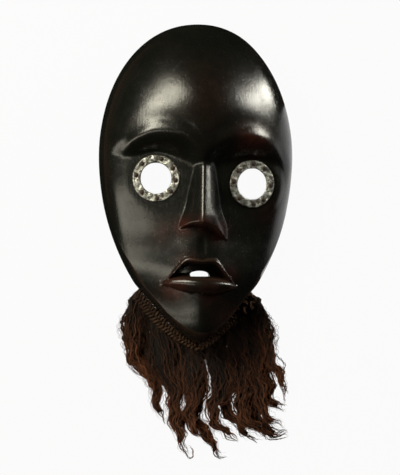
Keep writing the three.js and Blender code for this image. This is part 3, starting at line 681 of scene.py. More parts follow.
class Finish:
    """A material built from a few nodes."""

    def __init__(self, name):
        self.material = bpy.data.materials.new(name)
        self.material.use_nodes = True
        self.tree = self.material.node_tree
        self.tree.nodes.clear()
        self.place = self.out(self.node("ShaderNodeTexCoord"), "Object")

    def node(self, kind, settings=None, sockets=None):
        made = self.tree.nodes.new(kind)
        for name, setting in (settings or {}).items():
            setattr(made, name, setting)
        for name, value in (sockets or {}).items():
            if isinstance(value, Value):
                self.tree.links.new(value.socket, made.inputs[name])
            else:
                made.inputs[name].default_value = value
        return made

    def out(self, node, name=0):
        return Value(self, node.outputs[name])

    def stretched(self, x, y, z):
        made = self.node("ShaderNodeMapping", {"vector_type": "POINT"},
                         {"Vector": self.place, "Scale": (x, y, z)})
        return self.out(made)

    def noise(self, scale, detail, roughness, place=None, shift=0):
        made = self.node("ShaderNodeTexNoise", {"noise_dimensions": "4D"}, {
            "Vector": place or self.place, "Scale": scale, "Detail": detail,
            "Roughness": roughness, "W": shift})
        return self.out(made)

    def kept(self, name):
        """The number that give() kept for each point."""
        return self.out(self.node("ShaderNodeAttribute", {"attribute_name": name}), "Fac")

    def step(self, value, start, end, low=0, high=1):
        """A smooth step between two levels as a value passes from start to end."""
        made = self.node("ShaderNodeMapRange", {"interpolation_type": "SMOOTHSTEP"}, {
            "Value": value, "From Min": start, "From Max": end, "To Min": low, "To Max": high})
        return self.out(made)

    def mix(self, amount, first, second):
        made = self.node("ShaderNodeMix", {"data_type": "RGBA"}, {0: amount, 6: first, 7: second})
        return self.out(made, 2)

    def bump(self, height, distance, strength):
        made = self.node("ShaderNodeBump", {}, {
            "Height": height, "Distance": distance, "Strength": strength})
        return self.out(made)

    def surface(self, **sockets):
        named = {name.replace("_", " "): value for name, value in sockets.items()}
        shader = self.node("ShaderNodeBsdfPrincipled", {}, named)
        self.node("ShaderNodeOutputMaterial", {}, {"Surface": self.out(shader)})
        return self.material


def colour(red, green, blue):
    """A colour as the photograph's screen shows it, 0 to 255, made linear."""
    def linear(c):
        c /= 255
        return c / 12.92 if c <= 0.04045 else ((c + 0.055) / 1.055) ** 2.4
    return (linear(red), linear(green), linear(blue), 1)


# The colours of the finishes; the fibres have one for the root, the middle and the tip. On the beard the dark
# root colour is partly painted shade under the plait and chin.
CRUST, THIN_CRUST = colour(8, 9, 7), colour(12, 12, 9)
RUBBED_WOOD, BARE_EDGE = colour(62, 25, 18), colour(46, 31, 24)
DULL_SHEET, BRIGHT_SHEET = colour(52, 53, 50), colour(172, 173, 168)
SCRATCHED_SHEET, SHEET_DIRT = colour(226, 226, 218), colour(44, 29, 20)
IRON, RUST = colour(16, 13, 10), colour(48, 30, 20)
PLAIT_COLOURS = [colour(29, 18, 12), colour(62, 43, 29), colour(86, 62, 44)]
BEARD_COLOURS = [colour(16, 11, 8), colour(45, 26, 17), colour(96, 57, 36)]
# Painted shade: colours for the dark bodies inside the locks and under the plait.
SHADE_COLOURS = [colour(11, 7, 5), colour(19, 11, 7), colour(26, 15, 10)]


def polished_wood():
    """A dark polished crust, clouded and faintly grained, rubbed thin where it is handled."""
    finish = Finish("polished_wood")
    clouds = finish.noise(scale=38, detail=6, roughness=0.6)
    mottle = finish.noise(scale=150, detail=6, roughness=0.65, shift=2)
    grain_place = finish.stretched(700, 45, 700)
    grain = finish.noise(scale=1, detail=5, roughness=0.6, place=grain_place, shift=5)
    pits = finish.step(finish.noise(scale=900, detail=3, roughness=0.5, shift=8), 0.62, 0.75)
    rubbed = finish.kept("rubbed") * finish.step(mottle, 0.3, 0.65, low=0.45)
    edge = finish.kept("edge")
    paint = finish.mix(finish.step(clouds, 0.4, 0.66), CRUST, THIN_CRUST)
    paint = finish.mix(rubbed, paint, RUBBED_WOOD)
    paint = finish.mix(edge * 0.4, paint, BARE_EDGE)
    rough = finish.step(mottle, 0.25, 0.8, low=0.22, high=0.3) + pits * 0.1
    height = mottle * 0.55 + grain * 0.55 - pits * 0.2 + clouds * 1.2
    return finish.surface(
        Base_Color=paint, Roughness=rough, Specular_IOR_Level=0.3,
        Normal=finish.bump(height, distance=0.4 * MM, strength=0.45))


def worn_sheet():
    """Grey sheet metal, blotched and scratched, with dirt round the tacks."""
    finish = Finish("worn_sheet")
    blotch = finish.noise(scale=260, detail=5, roughness=0.65, shift=1)
    spots = finish.step(finish.noise(scale=620, detail=4, roughness=0.6, shift=4), 0.52, 0.6)
    stain = finish.kept("stain")
    scratch_place = finish.stretched(250, 2600, 250)
    scratch = finish.step(finish.noise(scale=1, detail=4, roughness=0.7, place=scratch_place), 0.56, 0.7)
    dirt = finish.step(stain * 1.2 + blotch * 0.9 + spots * 0.6, 0.62, 0.9)
    paint = finish.mix(finish.step(blotch, 0.35, 0.65), DULL_SHEET, BRIGHT_SHEET)
    paint = finish.mix(scratch * 0.8, paint, SCRATCHED_SHEET)
    paint = finish.mix(dirt, paint, SHEET_DIRT)
    height = blotch * 1.2 - spots * 0.5 + scratch * 0.3
    return finish.surface(
        Base_Color=paint, Metallic=finish.step(dirt, 0.1, 0.9, low=0.85, high=0.1),
        Roughness=finish.step(dirt, 0, 1, low=0.42, high=0.75) - scratch * 0.12,
        Normal=finish.bump(height, distance=0.3 * MM, strength=0.7))


def dark_iron():
    """Dark iron with rust in patches."""
    finish = Finish("dark_iron")
    rust = finish.noise(scale=900, detail=4, roughness=0.6, shift=3)
    paint = finish.mix(finish.step(rust, 0.4, 0.7), IRON, RUST)
    return finish.surface(
        Base_Color=paint, Metallic=0.5, Roughness=finish.step(rust, 0.3, 0.7, low=0.5, high=0.8),
        Normal=finish.bump(rust, distance=0.2 * MM, strength=0.8))


def plant_fibre(name, colours):
    """Plant fibre that grows paler towards the tip, each strand with a tint of its own. On the beard the dark
    root end is partly painted shade under the plait and chin, partly the fibre's own colour.
    """
    root, middle, tip = colours
    finish = Finish(name)
    tint = finish.kept("tint")
    along = finish.kept("along")
    fleck = finish.noise(scale=500, detail=4, roughness=0.6, shift=6)
    # Darker at the start of each strand: on the beard partly painted shade under the plait and chin.
    paint = finish.mix(finish.step(along * 0.8 + tint * 0.6, 0.2, 0.95), root, middle)
    paint = finish.mix(finish.step(along * 0.75 + tint * 0.55, 0.62, 1.15), paint, tip)
    paint = finish.mix(finish.step(fleck, 0.45, 0.7) * 0.5, paint, root)
    return finish.surface(Base_Color=paint, Roughness=0.75, Specular_IOR_Level=0.15)


def build_face(finish):
    face = mound("wooden_face_carved", FRONT_GRID, OUTER, front, 0)
    cut(face, mound("hollow", BACK_GRID, INNER, back, -1))
    holes = cord_drills() + [slot_bar()]
    for side in (-1, 1):
        eye = eye_centre(side)
        foot = np.array([eye[0], eye[1], -GAP])
        holes.append(drill(foot, foot + FACE_DEPTH * Z_AXIS, EYE_HOLE_RADIUS, EYE_HOLE_SIDES))
    cut(face, new_object("holes", *gather(holes)))
    smooth(face, sharp_angle=38)
    paint_face(face)
    settle(face, finish, "wood", "wooden_face")


# Places where handling has worn the crust to red-brown: x, y, radius and strength.
RUBBED = [(-20, -96, 9, 0.5), (6, -99, 10, 0.2), (20, -86, 7, 0.25), (-12, -76, 8, 0.25),
          (-14, -52, 7, 0.55), (13, -54, 7, 0.4), (0, -48, 7, 0.3), (38, 14, 12, 0.4),
          (20, -118, 12, 0.15), (2, 45, 22, 0.1), (-28, -55, 9, 0.25), (52, -40, 12, 0.1)]

# An edge stands out from the surface a step round it, and counts only away from the rim.
EDGE_STEP = 1.6
EDGE_GAIN = 1.4
EDGE_LEAST = 0.12
EDGE_ROOM = 0.06


def paint_face(face):
    """Keeps where the surface stands out in edges, and where it is rubbed red-brown."""
    count = len(face.data.vertices)
    points = np.zeros(count * 3)
    face.data.vertices.foreach_get("co", points)
    x, y, z = ((points.reshape(-1, 3) - ORIGIN) / MM).T

    def surface(px, py):
        return front(px, py, room_at(px, py))

    steps = [(EDGE_STEP, 0), (-EDGE_STEP, 0), (0, EDGE_STEP), (0, -EDGE_STEP)]
    around = sum(surface(x + dx, y + dy) for dx, dy in steps) / len(steps)
    edge = np.clip((surface(x, y) - around) * EDGE_GAIN - EDGE_LEAST, 0, 1)
    give(face, "edge", edge * (room_at(x, y) > EDGE_ROOM))
    rubbed = 0 * x
    for spot_x, spot_y, radius, strength in RUBBED:
        spot = near(x, spot_x, radius) * near(y, spot_y, radius)
        rubbed = np.maximum(rubbed, strength * spot)
    give(face, "rubbed", rubbed)


def turned(side, local):
    """Points beside an eye's centre, moved from a flat drawing to its tilted seat."""
    normal = Vector(seat_normal(side))
    turn = Vector((0, 0, 1)).rotation_difference(normal).to_matrix()
    return eye_centre(side) + local @ np.array(turn).T


def wander(rng, angle, waves, size):
    """A smooth random wobble round a circle."""
    total = 0 * angle
    for wave in range(2, 2 + waves):
        total = total + rng.normal() / wave * np.sin(wave * angle + rng.uniform(0, 2 * math.pi))
    return size * total


# The rings: how far their cut edges wander, and how they are rounded, dented and pinned down.
RING_SIDES = 200
RING_TOP_POINTS = 14
INNER_WANDER = (14, 0.16)
OUTER_WANDER = (16, 0.2)
RING_EDGE_WIDTH = 0.12
RING_EDGE_HEIGHT = 0.35
DENT_DEPTH = 0.05
DENT_WAVES = range(3, 22)
DENT_SLOPES = (1, 5)
ANY_TURN = (0, 6.3)
PIN_RADIUS = 2.1
PIN_DEPTH = 0.25
PIN_STAIN = 0.55


def dents(rng, angle, share):
    """Shallow waves round and across the top of a ring."""
    total = 0
    for wave in DENT_WAVES:
        depth = DENT_DEPTH * rng.normal()
        round_it = np.sin(wave * angle + rng.uniform(*ANY_TURN))
        across = np.cos(rng.uniform(*DENT_SLOPES) * share + rng.uniform(*ANY_TURN))
        total = total + depth * round_it[:, None] * across
    return total


def build_ring(finish, side, name, tacks):
    """A hand-cut ring of thin sheet, with a dented top and a rounded edge."""
    rng = np.random.default_rng(RING_SEED + side)
    angle = np.linspace(0, 2 * math.pi, RING_SIDES, endpoint=False)
    inner = RING_INNER_RADIUS + wander(rng, angle, *INNER_WANDER)
    outer = RING_OUTER_RADIUS + wander(rng, angle, *OUTER_WANDER)
    share = np.linspace(0, 1, RING_TOP_POINTS)
    edge = np.clip(np.minimum(share, 1 - share) / RING_EDGE_WIDTH, 0, 1)
    rounded = np.sqrt(np.clip(1 - (1 - edge) ** 2, 0, 1))
    radius = lerp(inner[:, None], outer[:, None], share)
    x, y = radius * np.cos(angle)[:, None], radius * np.sin(angle)[:, None]
    pinned = 0 * radius
    for degrees in tacks:
        tack = math.radians(degrees)
        away = np.hypot(x - TACK_CIRCLE * math.cos(tack), y - TACK_CIRCLE * math.sin(tack))
        pinned = np.maximum(pinned, near(away, 0, PIN_RADIUS))
    thickness = RING_THICKNESS * lerp(RING_EDGE_HEIGHT, 1, rounded)
    upper = GAP + thickness + dents(rng, angle, share) * rounded - PIN_DEPTH * pinned
    lower = np.full_like(upper, GAP)
    ring = np.concatenate([
        np.stack([x, y, upper], -1), np.stack([x, y, lower], -1)[:, ::-1]], 1)
    a = np.arange(ring.shape[0] * ring.shape[1]).reshape(ring.shape[:2])
    b = np.roll(a, -1, 1)
    c, d = np.roll(b, -1, 0), np.roll(a, -1, 0)
    faces = np.stack([a, b, c, d], -1).reshape(-1, 4)
    made = new_object(name + "_sheet", turned(side, ring.reshape(-1, 3)), faces)
    give(made, "stain", PIN_STAIN * np.concatenate([pinned, pinned[:, ::-1]], 1).ravel())
    smooth(made, sharp_angle=50)
    settle(made, finish, "ring_sheet", name)


# A tack from the tip of its shank to the top of its head, in shares of the head's radius and height.
TACK_PROFILE = [(0, -1.2), (0.55, -1.0), (0.6, 0.02), (1, 0), (1.04, 0.22), (0.92, 0.6), (0.6, 0.9),
                (0, 1)]
TACK_SIDES = 18
TACK_WANDER = (4, 0.06)
TACK_SEAT = 0.8


def build_tack(finish, side, name, degrees, rng):
    """A small domed head, a little off round, on a short shank."""
    angle = math.radians(degrees)
    centre = TACK_CIRCLE * np.array([math.cos(angle), math.sin(angle), 0])
    turn = np.linspace(0, 2 * math.pi, TACK_SIDES, endpoint=False)
    uneven = 1 + wander(rng, turn, *TACK_WANDER)
    points = []
    for radius, height in TACK_PROFILE:
        reach = TACK_HEAD_RADIUS * radius * uneven
        rise = np.full(TACK_SIDES, TACK_HEAD_HEIGHT * height)
        points.append(np.stack([reach * np.cos(turn), reach * np.sin(turn), rise], 1))
    index = np.arange(len(TACK_PROFILE) * TACK_SIDES).reshape(-1, TACK_SIDES)
    following = np.roll(index, -1, 1)
    faces = np.stack([index[:-1], following[:-1], following[1:], index[1:]], -1).reshape(-1, 4)
    lifted = np.concatenate(points) + centre + (GAP + TACK_SEAT * RING_THICKNESS) * Z_AXIS
    made = new_object(name + "_head", turned(side, lifted), faces)
    smooth(made, sharp_angle=60)
    settle(made, finish, "tack_iron", name)


def tubes(paths, radii, sides):
    """Points and faces of thin round strands along paths of the same number of points."""
    count, steps, _ = paths.shape
    along = np.gradient(paths, axis=1)
    along /= np.linalg.norm(along, axis=2, keepdims=True) + 1e-9
    across = np.cross(along, Z_AXIS)
    across /= np.linalg.norm(across, axis=2, keepdims=True) + 1e-9
    other = np.cross(across, along)
    turn = np.linspace(0, 2 * math.pi, sides, endpoint=False)
    ring = (np.cos(turn)[None, None, :, None] * across[:, :, None]
            + np.sin(turn)[None, None, :, None] * other[:, :, None])
    points = paths[:, :, None] + radii[:, :, None, None] * ring
    index = np.arange(count * steps * sides).reshape(count, steps, sides)
    following = np.roll(index, -1, 2)
    walls = np.stack([index[:, :-1], following[:, :-1], following[:, 1:], index[:, 1:]], -1)
    faces = walls[..., ::-1].reshape(-1, 4).tolist()
    faces += index[:, 0].tolist() + index[:, -1, ::-1].tolist()
    return points.reshape(-1, 3), faces


def strands_object(name, paths, radii, tints, sides):
    points, faces = tubes(paths, radii, sides)
    made = new_object(name, points, faces)
    count, steps, _ = paths.shape
    give(made, "tint", np.repeat(tints, steps * sides))
    give(made, "along", np.tile(np.repeat(np.linspace(0, 1, steps), sides), count))
    smooth(made)
    return made


PLAIT_LINE = RimLine(PLAIT_START, PLAIT_END)


def plait_size(share):
    """Half-width and half-height: broad and flat on one cheek, rolled on edge on the other."""
    roll = ramp(*PLAIT_ROLLS, share)
    knot = near(share, KNOT_AT, KNOT_LENGTH)
    ends = np.sqrt(np.clip(np.minimum(share, 1 - share) / PLAIT_END_LENGTH, PLAIT_END_SIZE, 1))
    return [ends * (lerp(flat, rolled, roll) + swell * knot) for flat, rolled, swell in PLAIT_SECTION]


def plait_place(share):
    point, along, outward = PLAIT_LINE.at(share)
    half_width, _ = plait_size(share)
    centre = point + outward * (GAP + half_width)[:, None]
    centre[:, 2] = CORD_HOLE_LEVEL
    return centre, along, outward


# The three strands of the plait: where each swings and how its fibres are twisted.
PLAIT_STEPS = 350
PLAIT_FIBRE_SIDES = 5
PLAIT_TURNS = 15
PLAIT_INSET = 0.45
STRAND_SIDE = 0.62
STRAND_RISE = 0.42
STRAND_FIBRES = 9
STRAND_TWISTS = 38
STRAND_REACH = 0.34
STRAND_UNEVENNESS = 0.05
STRAND_HEIGHT = 1.25
FIBRE_SHARE = 0.13
FIBRE_UNEVENNESS = 0.2

# The knots: share along the plait and radius of each, how they stand off it, and their fibres.
KNOTS = [(0.962, 4.6), (0.905, 3.8)]
KNOT_OUT = 1.8
KNOT_LIFT = 1.5
KNOT_WEAVE = 1.6
KNOT_TWISTS = 7
KNOT_REACH = 1.2
KNOT_UNEVENNESS = 0.12
KNOT_FIBRE_RADIUS = 0.42
KNOT_TINTS = (0, 0.8)

# The short hairs that stand off the plait.
FUZZ_HAIRS = 420
FUZZ_STEPS = 8
HAIR_SIDES = 3
FUZZ_MARGIN = 4
FUZZ_FLATTENING = 0.7
FUZZ_RISE = 0.5
FUZZ_SCATTER = 0.5
FUZZ_LENGTHS = (1, 3.2)
FUZZ_CURL = 0.35
FUZZ_RADII = (0.1, 0.05)


def knot_paths(rng, share, radius):
    """Fibres that wind through a small clover-shaped knot near the right end of the plait."""
    centre, along, outward = plait_place(np.array([share]))
    middle = centre[0] + outward[0] * KNOT_OUT + Z_AXIS * KNOT_LIFT
    turn = np.linspace(0, 2 * math.pi, PLAIT_STEPS)
    bend_x = radius * (np.sin(turn) + 2 * np.sin(2 * turn)) / 3
    bend_y = radius * (np.cos(turn) - 2 * np.cos(2 * turn)) / 3
    route = middle + along[0] * bend_x[:, None] + outward[0] * bend_y[:, None]
    route = route - Z_AXIS * (KNOT_WEAVE * np.sin(3 * turn))[:, None]
    from_middle = route - middle
    from_middle /= np.linalg.norm(from_middle, axis=1, keepdims=True)
    paths = []
    for fibre in range(STRAND_FIBRES):
        twist = 2 * math.pi * fibre / STRAND_FIBRES + KNOT_TWISTS * turn
        reach = KNOT_REACH + KNOT_UNEVENNESS * rng.normal()
        spread_out = from_middle * np.cos(twist)[:, None] + Z_AXIS * np.sin(twist)[:, None]
        paths.append(route + reach * spread_out)
    return paths


def fuzz_paths(rng, centre, outward, half_width, half_height):
    """Short hairs that stand off the plait."""
    paths = []
    t = np.linspace(0, 1, FUZZ_STEPS)
    for _ in range(FUZZ_HAIRS):
        at = rng.integers(FUZZ_MARGIN, len(centre) - FUZZ_MARGIN)
        side = rng.uniform(-1, 1)
        foot = centre[at] + outward[at] * half_width[at] * side
        foot = foot + Z_AXIS * half_height[at] * math.sqrt(1 - FUZZ_FLATTENING * side * side)
        lean_out = outward[at] * side + rng.normal(0, FUZZ_SCATTER, 3) + Z_AXIS * FUZZ_RISE
        curl = np.cross(lean_out, rng.normal(0, 1, 3))
        length = rng.uniform(*FUZZ_LENGTHS)
        paths.append(foot + length * (lean_out * t[:, None] + FUZZ_CURL * curl * (t * t)[:, None]))
    return paths


def build_plait(finish):
    """Three strands plaited flat, each a bundle of twisted fibres, with two knots and short hairs."""
    rng = np.random.default_rng(PLAIT_SEED)
    share = np.linspace(0, 1, PLAIT_STEPS)
    centre, _, outward = plait_place(share)
    half_width, half_height = plait_size(share)
    centre = centre - outward * PLAIT_INSET
    paths, radii, tints = [], [], []
    for strand in range(3):
        phase = 2 * math.pi * (PLAIT_TURNS * share + strand / 3)
        side = STRAND_SIDE * np.cos(phase)
        rise = STRAND_RISE * np.sin(2 * phase)
        for fibre in range(STRAND_FIBRES):
            twist = 2 * math.pi * (fibre / STRAND_FIBRES + STRAND_TWISTS * share)
            reach = STRAND_REACH + STRAND_UNEVENNESS * rng.normal()
            x = half_width * (side + reach * np.cos(twist))
            z = half_height * (rise + STRAND_HEIGHT * reach * np.sin(twist))
            paths.append(centre + outward * x[:, None] + Z_AXIS * z[:, None])
            thickness = FIBRE_SHARE * np.sqrt(half_width * half_height)
            radii.append(thickness * (1 + FIBRE_UNEVENNESS * rng.normal()))
            tints.append(rng.uniform(0, 1))
    for place, radius in KNOTS:
        for path in knot_paths(rng, place, radius):
            paths.append(path)
            radii.append(np.full(PLAIT_STEPS, KNOT_FIBRE_RADIUS))
            tints.append(rng.uniform(*KNOT_TINTS))
    made = strands_object("chin_plait_strands", np.array(paths), np.array(radii), tints, PLAIT_FIBRE_SIDES)
    settle(made, finish, "plait_fibre", "chin_plait")
    hairs = np.array(fuzz_paths(rng, centre, outward, half_width, half_height))
    hair_radii = np.tile(np.linspace(*FUZZ_RADII, FUZZ_STEPS), (FUZZ_HAIRS, 1))
    hair_tints = rng.uniform(0, 1, FUZZ_HAIRS)
    made = strands_object("chin_plait_fuzz", hairs, hair_radii, hair_tints, HAIR_SIDES)
    settle(made, finish, "plait_fibre", "chin_plait")


# The steps from one point of a route to the next, before it is split evenly.
ROUTE_FINENESS = 30


def even_route(points, steps):
    """A smooth route through points, split into even steps."""
    points = np.array(points, float)
    ends = np.concatenate([[2 * points[0] - points[1]], points, [2 * points[-1] - points[-2]]])
    t = np.linspace(0, 1, ROUTE_FINENESS, endpoint=False)[:, None]
    pieces = []
    for before, a, b, after in zip(ends, ends[1:], ends[2:], ends[3:]):
        slope_a, slope_b = (b - before) / 2, (after - a) / 2
        ease = t * t * (3 - 2 * t)
        pieces.append(lerp(a, b, ease) + t * (1 - t) * ((1 - t) * slope_a - t * slope_b))
    fine = np.concatenate(pieces + [points[-1:]])
    lengths = np.concatenate([[0], np.cumsum(np.linalg.norm(np.diff(fine, axis=0), axis=1))])
    places = np.linspace(0, lengths[-1], steps)
    return np.stack([np.interp(places, lengths, column) for column in fine.T], 1)


# A lock's course: how it fans out from the plait, sways and leaves the floor free.
LOCK_STEPS = 44
LOCK_STANDOFF = 1.5
LOCK_SPREAD = 1.2
END_FAN = 1.1
ROOT_FAN = 1.7
ROOT_FAN_FROM_END = 0.22
LOWER_FAN = 0.85
LOWER_FANS = {8: 1.15, 9: 1.35, 10: 1.35, 11: 1.1}
FAN_CLOSES = (0.22, 0.6)
ROOT_FULLNESS = 0.8
ROOT_PART = 0.2
LOCK_SWAY = 1.7
SWAY_LENGTH = 36
SWAY_GROWS = (0.25, 0.55)
SECOND_WAVE = (0.6, 2.3)

# The roots of its strands on the plait, and how far down they take to join the lock.
ROOT_REACH = 0.32
ROOT_SPREAD = 0.045
ROOT_SCATTER = 0.008
ROOT_INSET = 0.5
ROOT_SHIFTS = (-1, 1)
ROOT_LEVELS = (1.5, 4)

# Its yarns, in ranges that each one draws from: places and heights in the lock, waves, ends, girths.
YARNS = 18
YARN_HEIGHTS = (-0.5, 1)
YARN_FLATTENING = 0.8
YARN_WAVES = (0.5, 1.3)
YARN_WAVE_LENGTHS = (13, 26)
YARN_RISE = (0.4, 17)
YARN_ENDS = (0.78, 1)
YARN_GIRTHS = (0.32, 0.55)
THICKNESS_LEAST = 0.5
THICKNESS_GAIN = 0.7

# The fibres of a yarn.
YARN_FIBRES = 7
TWIST_LENGTH = 9
FIBRE_TURNS = (0, 0.6)
FIBRE_REACHES = (0.75, 1.3)
FIBRE_ENDS = (0.96, 1)
FIBRE_RADII = (0.17, 0.25)
FIBRE_TINTS = (-0.2, 0.2)
TIP_FROM = 0.85
TIP_THINNING = 0.7

# The loose hairs round them.
LOOSE_HAIRS = 62
HAIR_PLACES = (-1.4, 1.4)
HAIR_WAVES = (0.6, 2.4)
HAIR_WAVE_LENGTHS = (7, 24)
HAIR_HEIGHTS = (-0.6, 1.5)
HAIR_RISES = (0.3, 1)
HAIR_RISE_LENGTHS = (8, 20)
HAIR_ENDS = (0.35, 1)
HAIR_RADII = (0.08, 0.14)
HAIR_TINTS = (0.2, 1.1)

# The fibres of a stray strand.
STRAY_FIBRES = 5
STRAY_SCATTER = 0.35
STRAY_WAVE = (0.35, 14)
STRAY_FLATNESS = (1, 1, 0.5)
STRAY_ENDS = (0.85, 1)
STRAY_RADIUS = 0.17
STRAY_TINT = 0.7

# The dark core of a lock and the dark body close under the plait, both coloured as painted shade.
CORE_SIDES = 10
CORE_SHARE = 0.74
CORE_THICKNESS = 0.75
CORE_DROP = 0.5
CORE_SHORTER = 5
CORE_ROUNDING = (-0.02, 0.07)
CURTAIN_DROP = 9
CURTAIN_SPAN = (0.03, 0.97)
CURTAIN_STEPS = 60
CURTAIN_ROUNDING = (-0.02, 0.12)
CURTAIN_OUT = 0.4


class Lock:
    """A hank of wavy twisted yarns and loose hairs round a dark core coloured as painted shade."""

    def __init__(self, number, share, layer, half_width, fall):
        self.number = number
        self.share = share
        self.rng = np.random.default_rng(LOCK_SEED + number)
        self.paths, self.radii, self.tints = [], [], []
        self.t = np.linspace(0, 1, LOCK_STEPS)
        centre, _, outward = plait_place(np.array([share]))
        self.start = centre[0] + outward[0] * (plait_size(np.array([share]))[0][0] + LOCK_STANDOFF)
        self.start[2] = LOCK_LEVELS[layer]
        self.route = even_route([self.start] + [self.start + [x, y, 0] for x, y in fall], LOCK_STEPS)
        self.length = np.linalg.norm(np.diff(self.route, axis=0), axis=1).sum()
        along = np.gradient(self.route, axis=0)
        along /= np.linalg.norm(along, axis=1, keepdims=True)
        self.across = np.stack([along[:, 1], -along[:, 0], 0 * self.t], 1)
        self.taper = through(LOCK_TAPER, self.t)
        root_fan = lerp(END_FAN, ROOT_FAN, ramp(0, ROOT_FAN_FROM_END, min(share, 1 - share)))
        fan = lerp(root_fan, LOWER_FANS.get(number, LOWER_FAN), ramp(*FAN_CLOSES, self.t))
        fullness = np.maximum(self.taper, ROOT_FULLNESS * (1 - ramp(0, ROOT_PART, self.t)))
        self.width = LOCK_SPREAD * half_width * fan * fullness
        self.sway = ramp(*SWAY_GROWS, self.t) * self.wave(LOCK_SWAY, SWAY_LENGTH)

    def wave(self, size, wavelength):
        """A wander of one strand, as two waves that don't repeat together."""
        first, second = self.rng.uniform(0, 2 * math.pi, 2)
        share, quicker = SECOND_WAVE
        turns = 2 * math.pi * self.length / wavelength * self.t
        return size * (np.sin(turns + first) + share * np.sin(quicker * turns + second))

    def root_at(self, place):
        """A root on the plait beside the lock's own."""
        beside = np.clip(self.share + place * ROOT_SPREAD + ROOT_SCATTER * self.rng.normal(), 0, 1)
        middle, _, away = plait_place(np.array([beside]))
        inset = ROOT_INSET * plait_size(np.array([beside]))[0][0]
        root = middle[0] + away[0] * inset + [0, self.rng.uniform(*ROOT_SHIFTS), 0]
        root[2] = self.rng.uniform(*ROOT_LEVELS)
        return root

    def hanging(self, root):
        """The lock's route, started at another root and brought back to it."""
        return self.route + (1 - ramp(0, ROOT_REACH, self.t))[:, None] * (root - self.start)

    def beside(self, route, x, z):
        """A path beside a route: x across the lock, z up from it."""
        return route + self.across * x[:, None] + Z_AXIS * z[:, None]

    def add(self, path, end, radius, tint):
        """Cuts a strand at its end, keeps it off the floor and stores it."""
        path = np.stack([np.interp(self.t * end, self.t, column) for column in path.T], 1)
        path[:, 2] = np.maximum(path[:, 2], FLOOR_ROOM + radius)
        self.paths.append(path)
        self.radii.append(radius * (1 - TIP_THINNING * ramp(TIP_FROM, 1, self.t)))
        self.tints.append(tint)

    def lay_yarn(self):
        """A wavy yarn of fibres twisted round each other."""
        draw = self.rng.uniform
        place = draw(-1, 1)
        height = draw(*YARN_HEIGHTS) * math.sqrt(1 - YARN_FLATTENING * place * place)
        root = self.root_at(place)
        x = self.sway + self.width * place + self.wave(draw(*YARN_WAVES), draw(*YARN_WAVE_LENGTHS))
        thickness = LOCK_HALF_THICKNESS * (THICKNESS_LEAST + THICKNESS_GAIN * self.taper)
        middle = self.beside(self.hanging(root), x, thickness * height + self.wave(*YARN_RISE))
        end, tint, girth = draw(*YARN_ENDS), draw(0, 1), draw(*YARN_GIRTHS)
        for fibre in range(YARN_FIBRES):
            twist = 2 * math.pi * (fibre / YARN_FIBRES + self.length / TWIST_LENGTH * self.t)
            twist = twist + draw(*FIBRE_TURNS)
            reach = girth * draw(*FIBRE_REACHES)
            path = self.beside(middle, reach * np.cos(twist), reach * np.sin(twist))
            self.add(path, end * draw(*FIBRE_ENDS), draw(*FIBRE_RADII), tint + draw(*FIBRE_TINTS))

    def lay_loose_hair(self):
        """A thin hair that wanders more than the yarns do."""
        draw = self.rng.uniform
        place = draw(*HAIR_PLACES)
        x = self.sway + self.width * place + self.wave(draw(*HAIR_WAVES), draw(*HAIR_WAVE_LENGTHS))
        z = LOCK_HALF_THICKNESS * draw(*HAIR_HEIGHTS)
        z = z + self.wave(draw(*HAIR_RISES), draw(*HAIR_RISE_LENGTHS))
        path = self.beside(self.hanging(self.root_at(place)), x, z)
        self.add(path, draw(*HAIR_ENDS), draw(*HAIR_RADII), draw(*HAIR_TINTS))

    def lay_stray(self, points):
        """A few fibres that leave the lock along points of their own."""
        stray = even_route([(x, y, self.start[2]) for x, y in points], LOCK_STEPS)
        for _ in range(STRAY_FIBRES):
            shift = self.rng.normal(0, STRAY_SCATTER, 3)
            path = stray + shift + self.wave(*STRAY_WAVE)[:, None] * STRAY_FLATNESS
            self.add(path, self.rng.uniform(*STRAY_ENDS), STRAY_RADIUS, STRAY_TINT)

    def build(self, finish, core_finish):
        for _ in range(YARNS):
            self.lay_yarn()
        for _ in range(LOOSE_HAIRS):
            self.lay_loose_hair()
        for points in STRAYS.get(self.number, []):
            self.lay_stray(points)
        name = f"beard_lock_{self.number:02d}"
        paths, radii = np.array(self.paths), np.array(self.radii)
        made = strands_object(name + "_strands", paths, radii, self.tints, HAIR_SIDES)
        settle(made, finish, "beard_fibre", name)
        # The lock's core: a dark body coloured as painted shade.
        core = self.hanging(self.root_at(0)) + self.across * self.sway[:, None]
        width = ramp(*CORE_ROUNDING, self.t) * self.width
        kept = slice(LOCK_STEPS - CORE_SHORTER)
        build_core(core_finish, name, core[kept], self.across[kept], width[kept])


def build_core(finish, name, route, across, width):
    """A flat body of oval sections, coloured as painted shade for the shaded inside of a lock."""
    turn = np.linspace(0, 2 * math.pi, CORE_SIDES, endpoint=False)
    wide = CORE_SHARE * width[:, None, None] * np.cos(turn)[None, :, None] * across[:, None]
    high = CORE_THICKNESS * LOCK_HALF_THICKNESS * np.sin(turn)[None, :, None] * Z_AXIS
    points = route[:, None] + wide + high - Z_AXIS * CORE_DROP
    points[..., 2] = np.maximum(points[..., 2], FLOOR_ROOM)
    index = np.arange(len(route) * CORE_SIDES).reshape(-1, CORE_SIDES)
    following = np.roll(index, -1, 1)
    walls = np.stack([index[:-1], index[1:], following[1:], following[:-1]], -1)
    faces = walls.reshape(-1, 4).tolist() + [index[0].tolist(), index[-1, ::-1].tolist()]
    made = new_object(name + "_core", points.reshape(-1, 3), faces)
    smooth(made)
    settle(made, finish, "beard_fibre", name)


def build_root_curtain(finish):
    """A dark body coloured as painted shade for the shaded hair close under the plait, behind the locks."""
    share = np.linspace(*CURTAIN_SPAN, CURTAIN_STEPS)
    centre, _, outward = plait_place(share)
    width = CURTAIN_DROP * np.sqrt(ramp(*CURTAIN_ROUNDING, np.minimum(share, 1 - share)))
    route = centre + outward * (CURTAIN_OUT * width)[:, None]
    route[:, 2] = LOCK_LEVELS[0]
    build_core(finish, "chin_plait", route, outward, width)


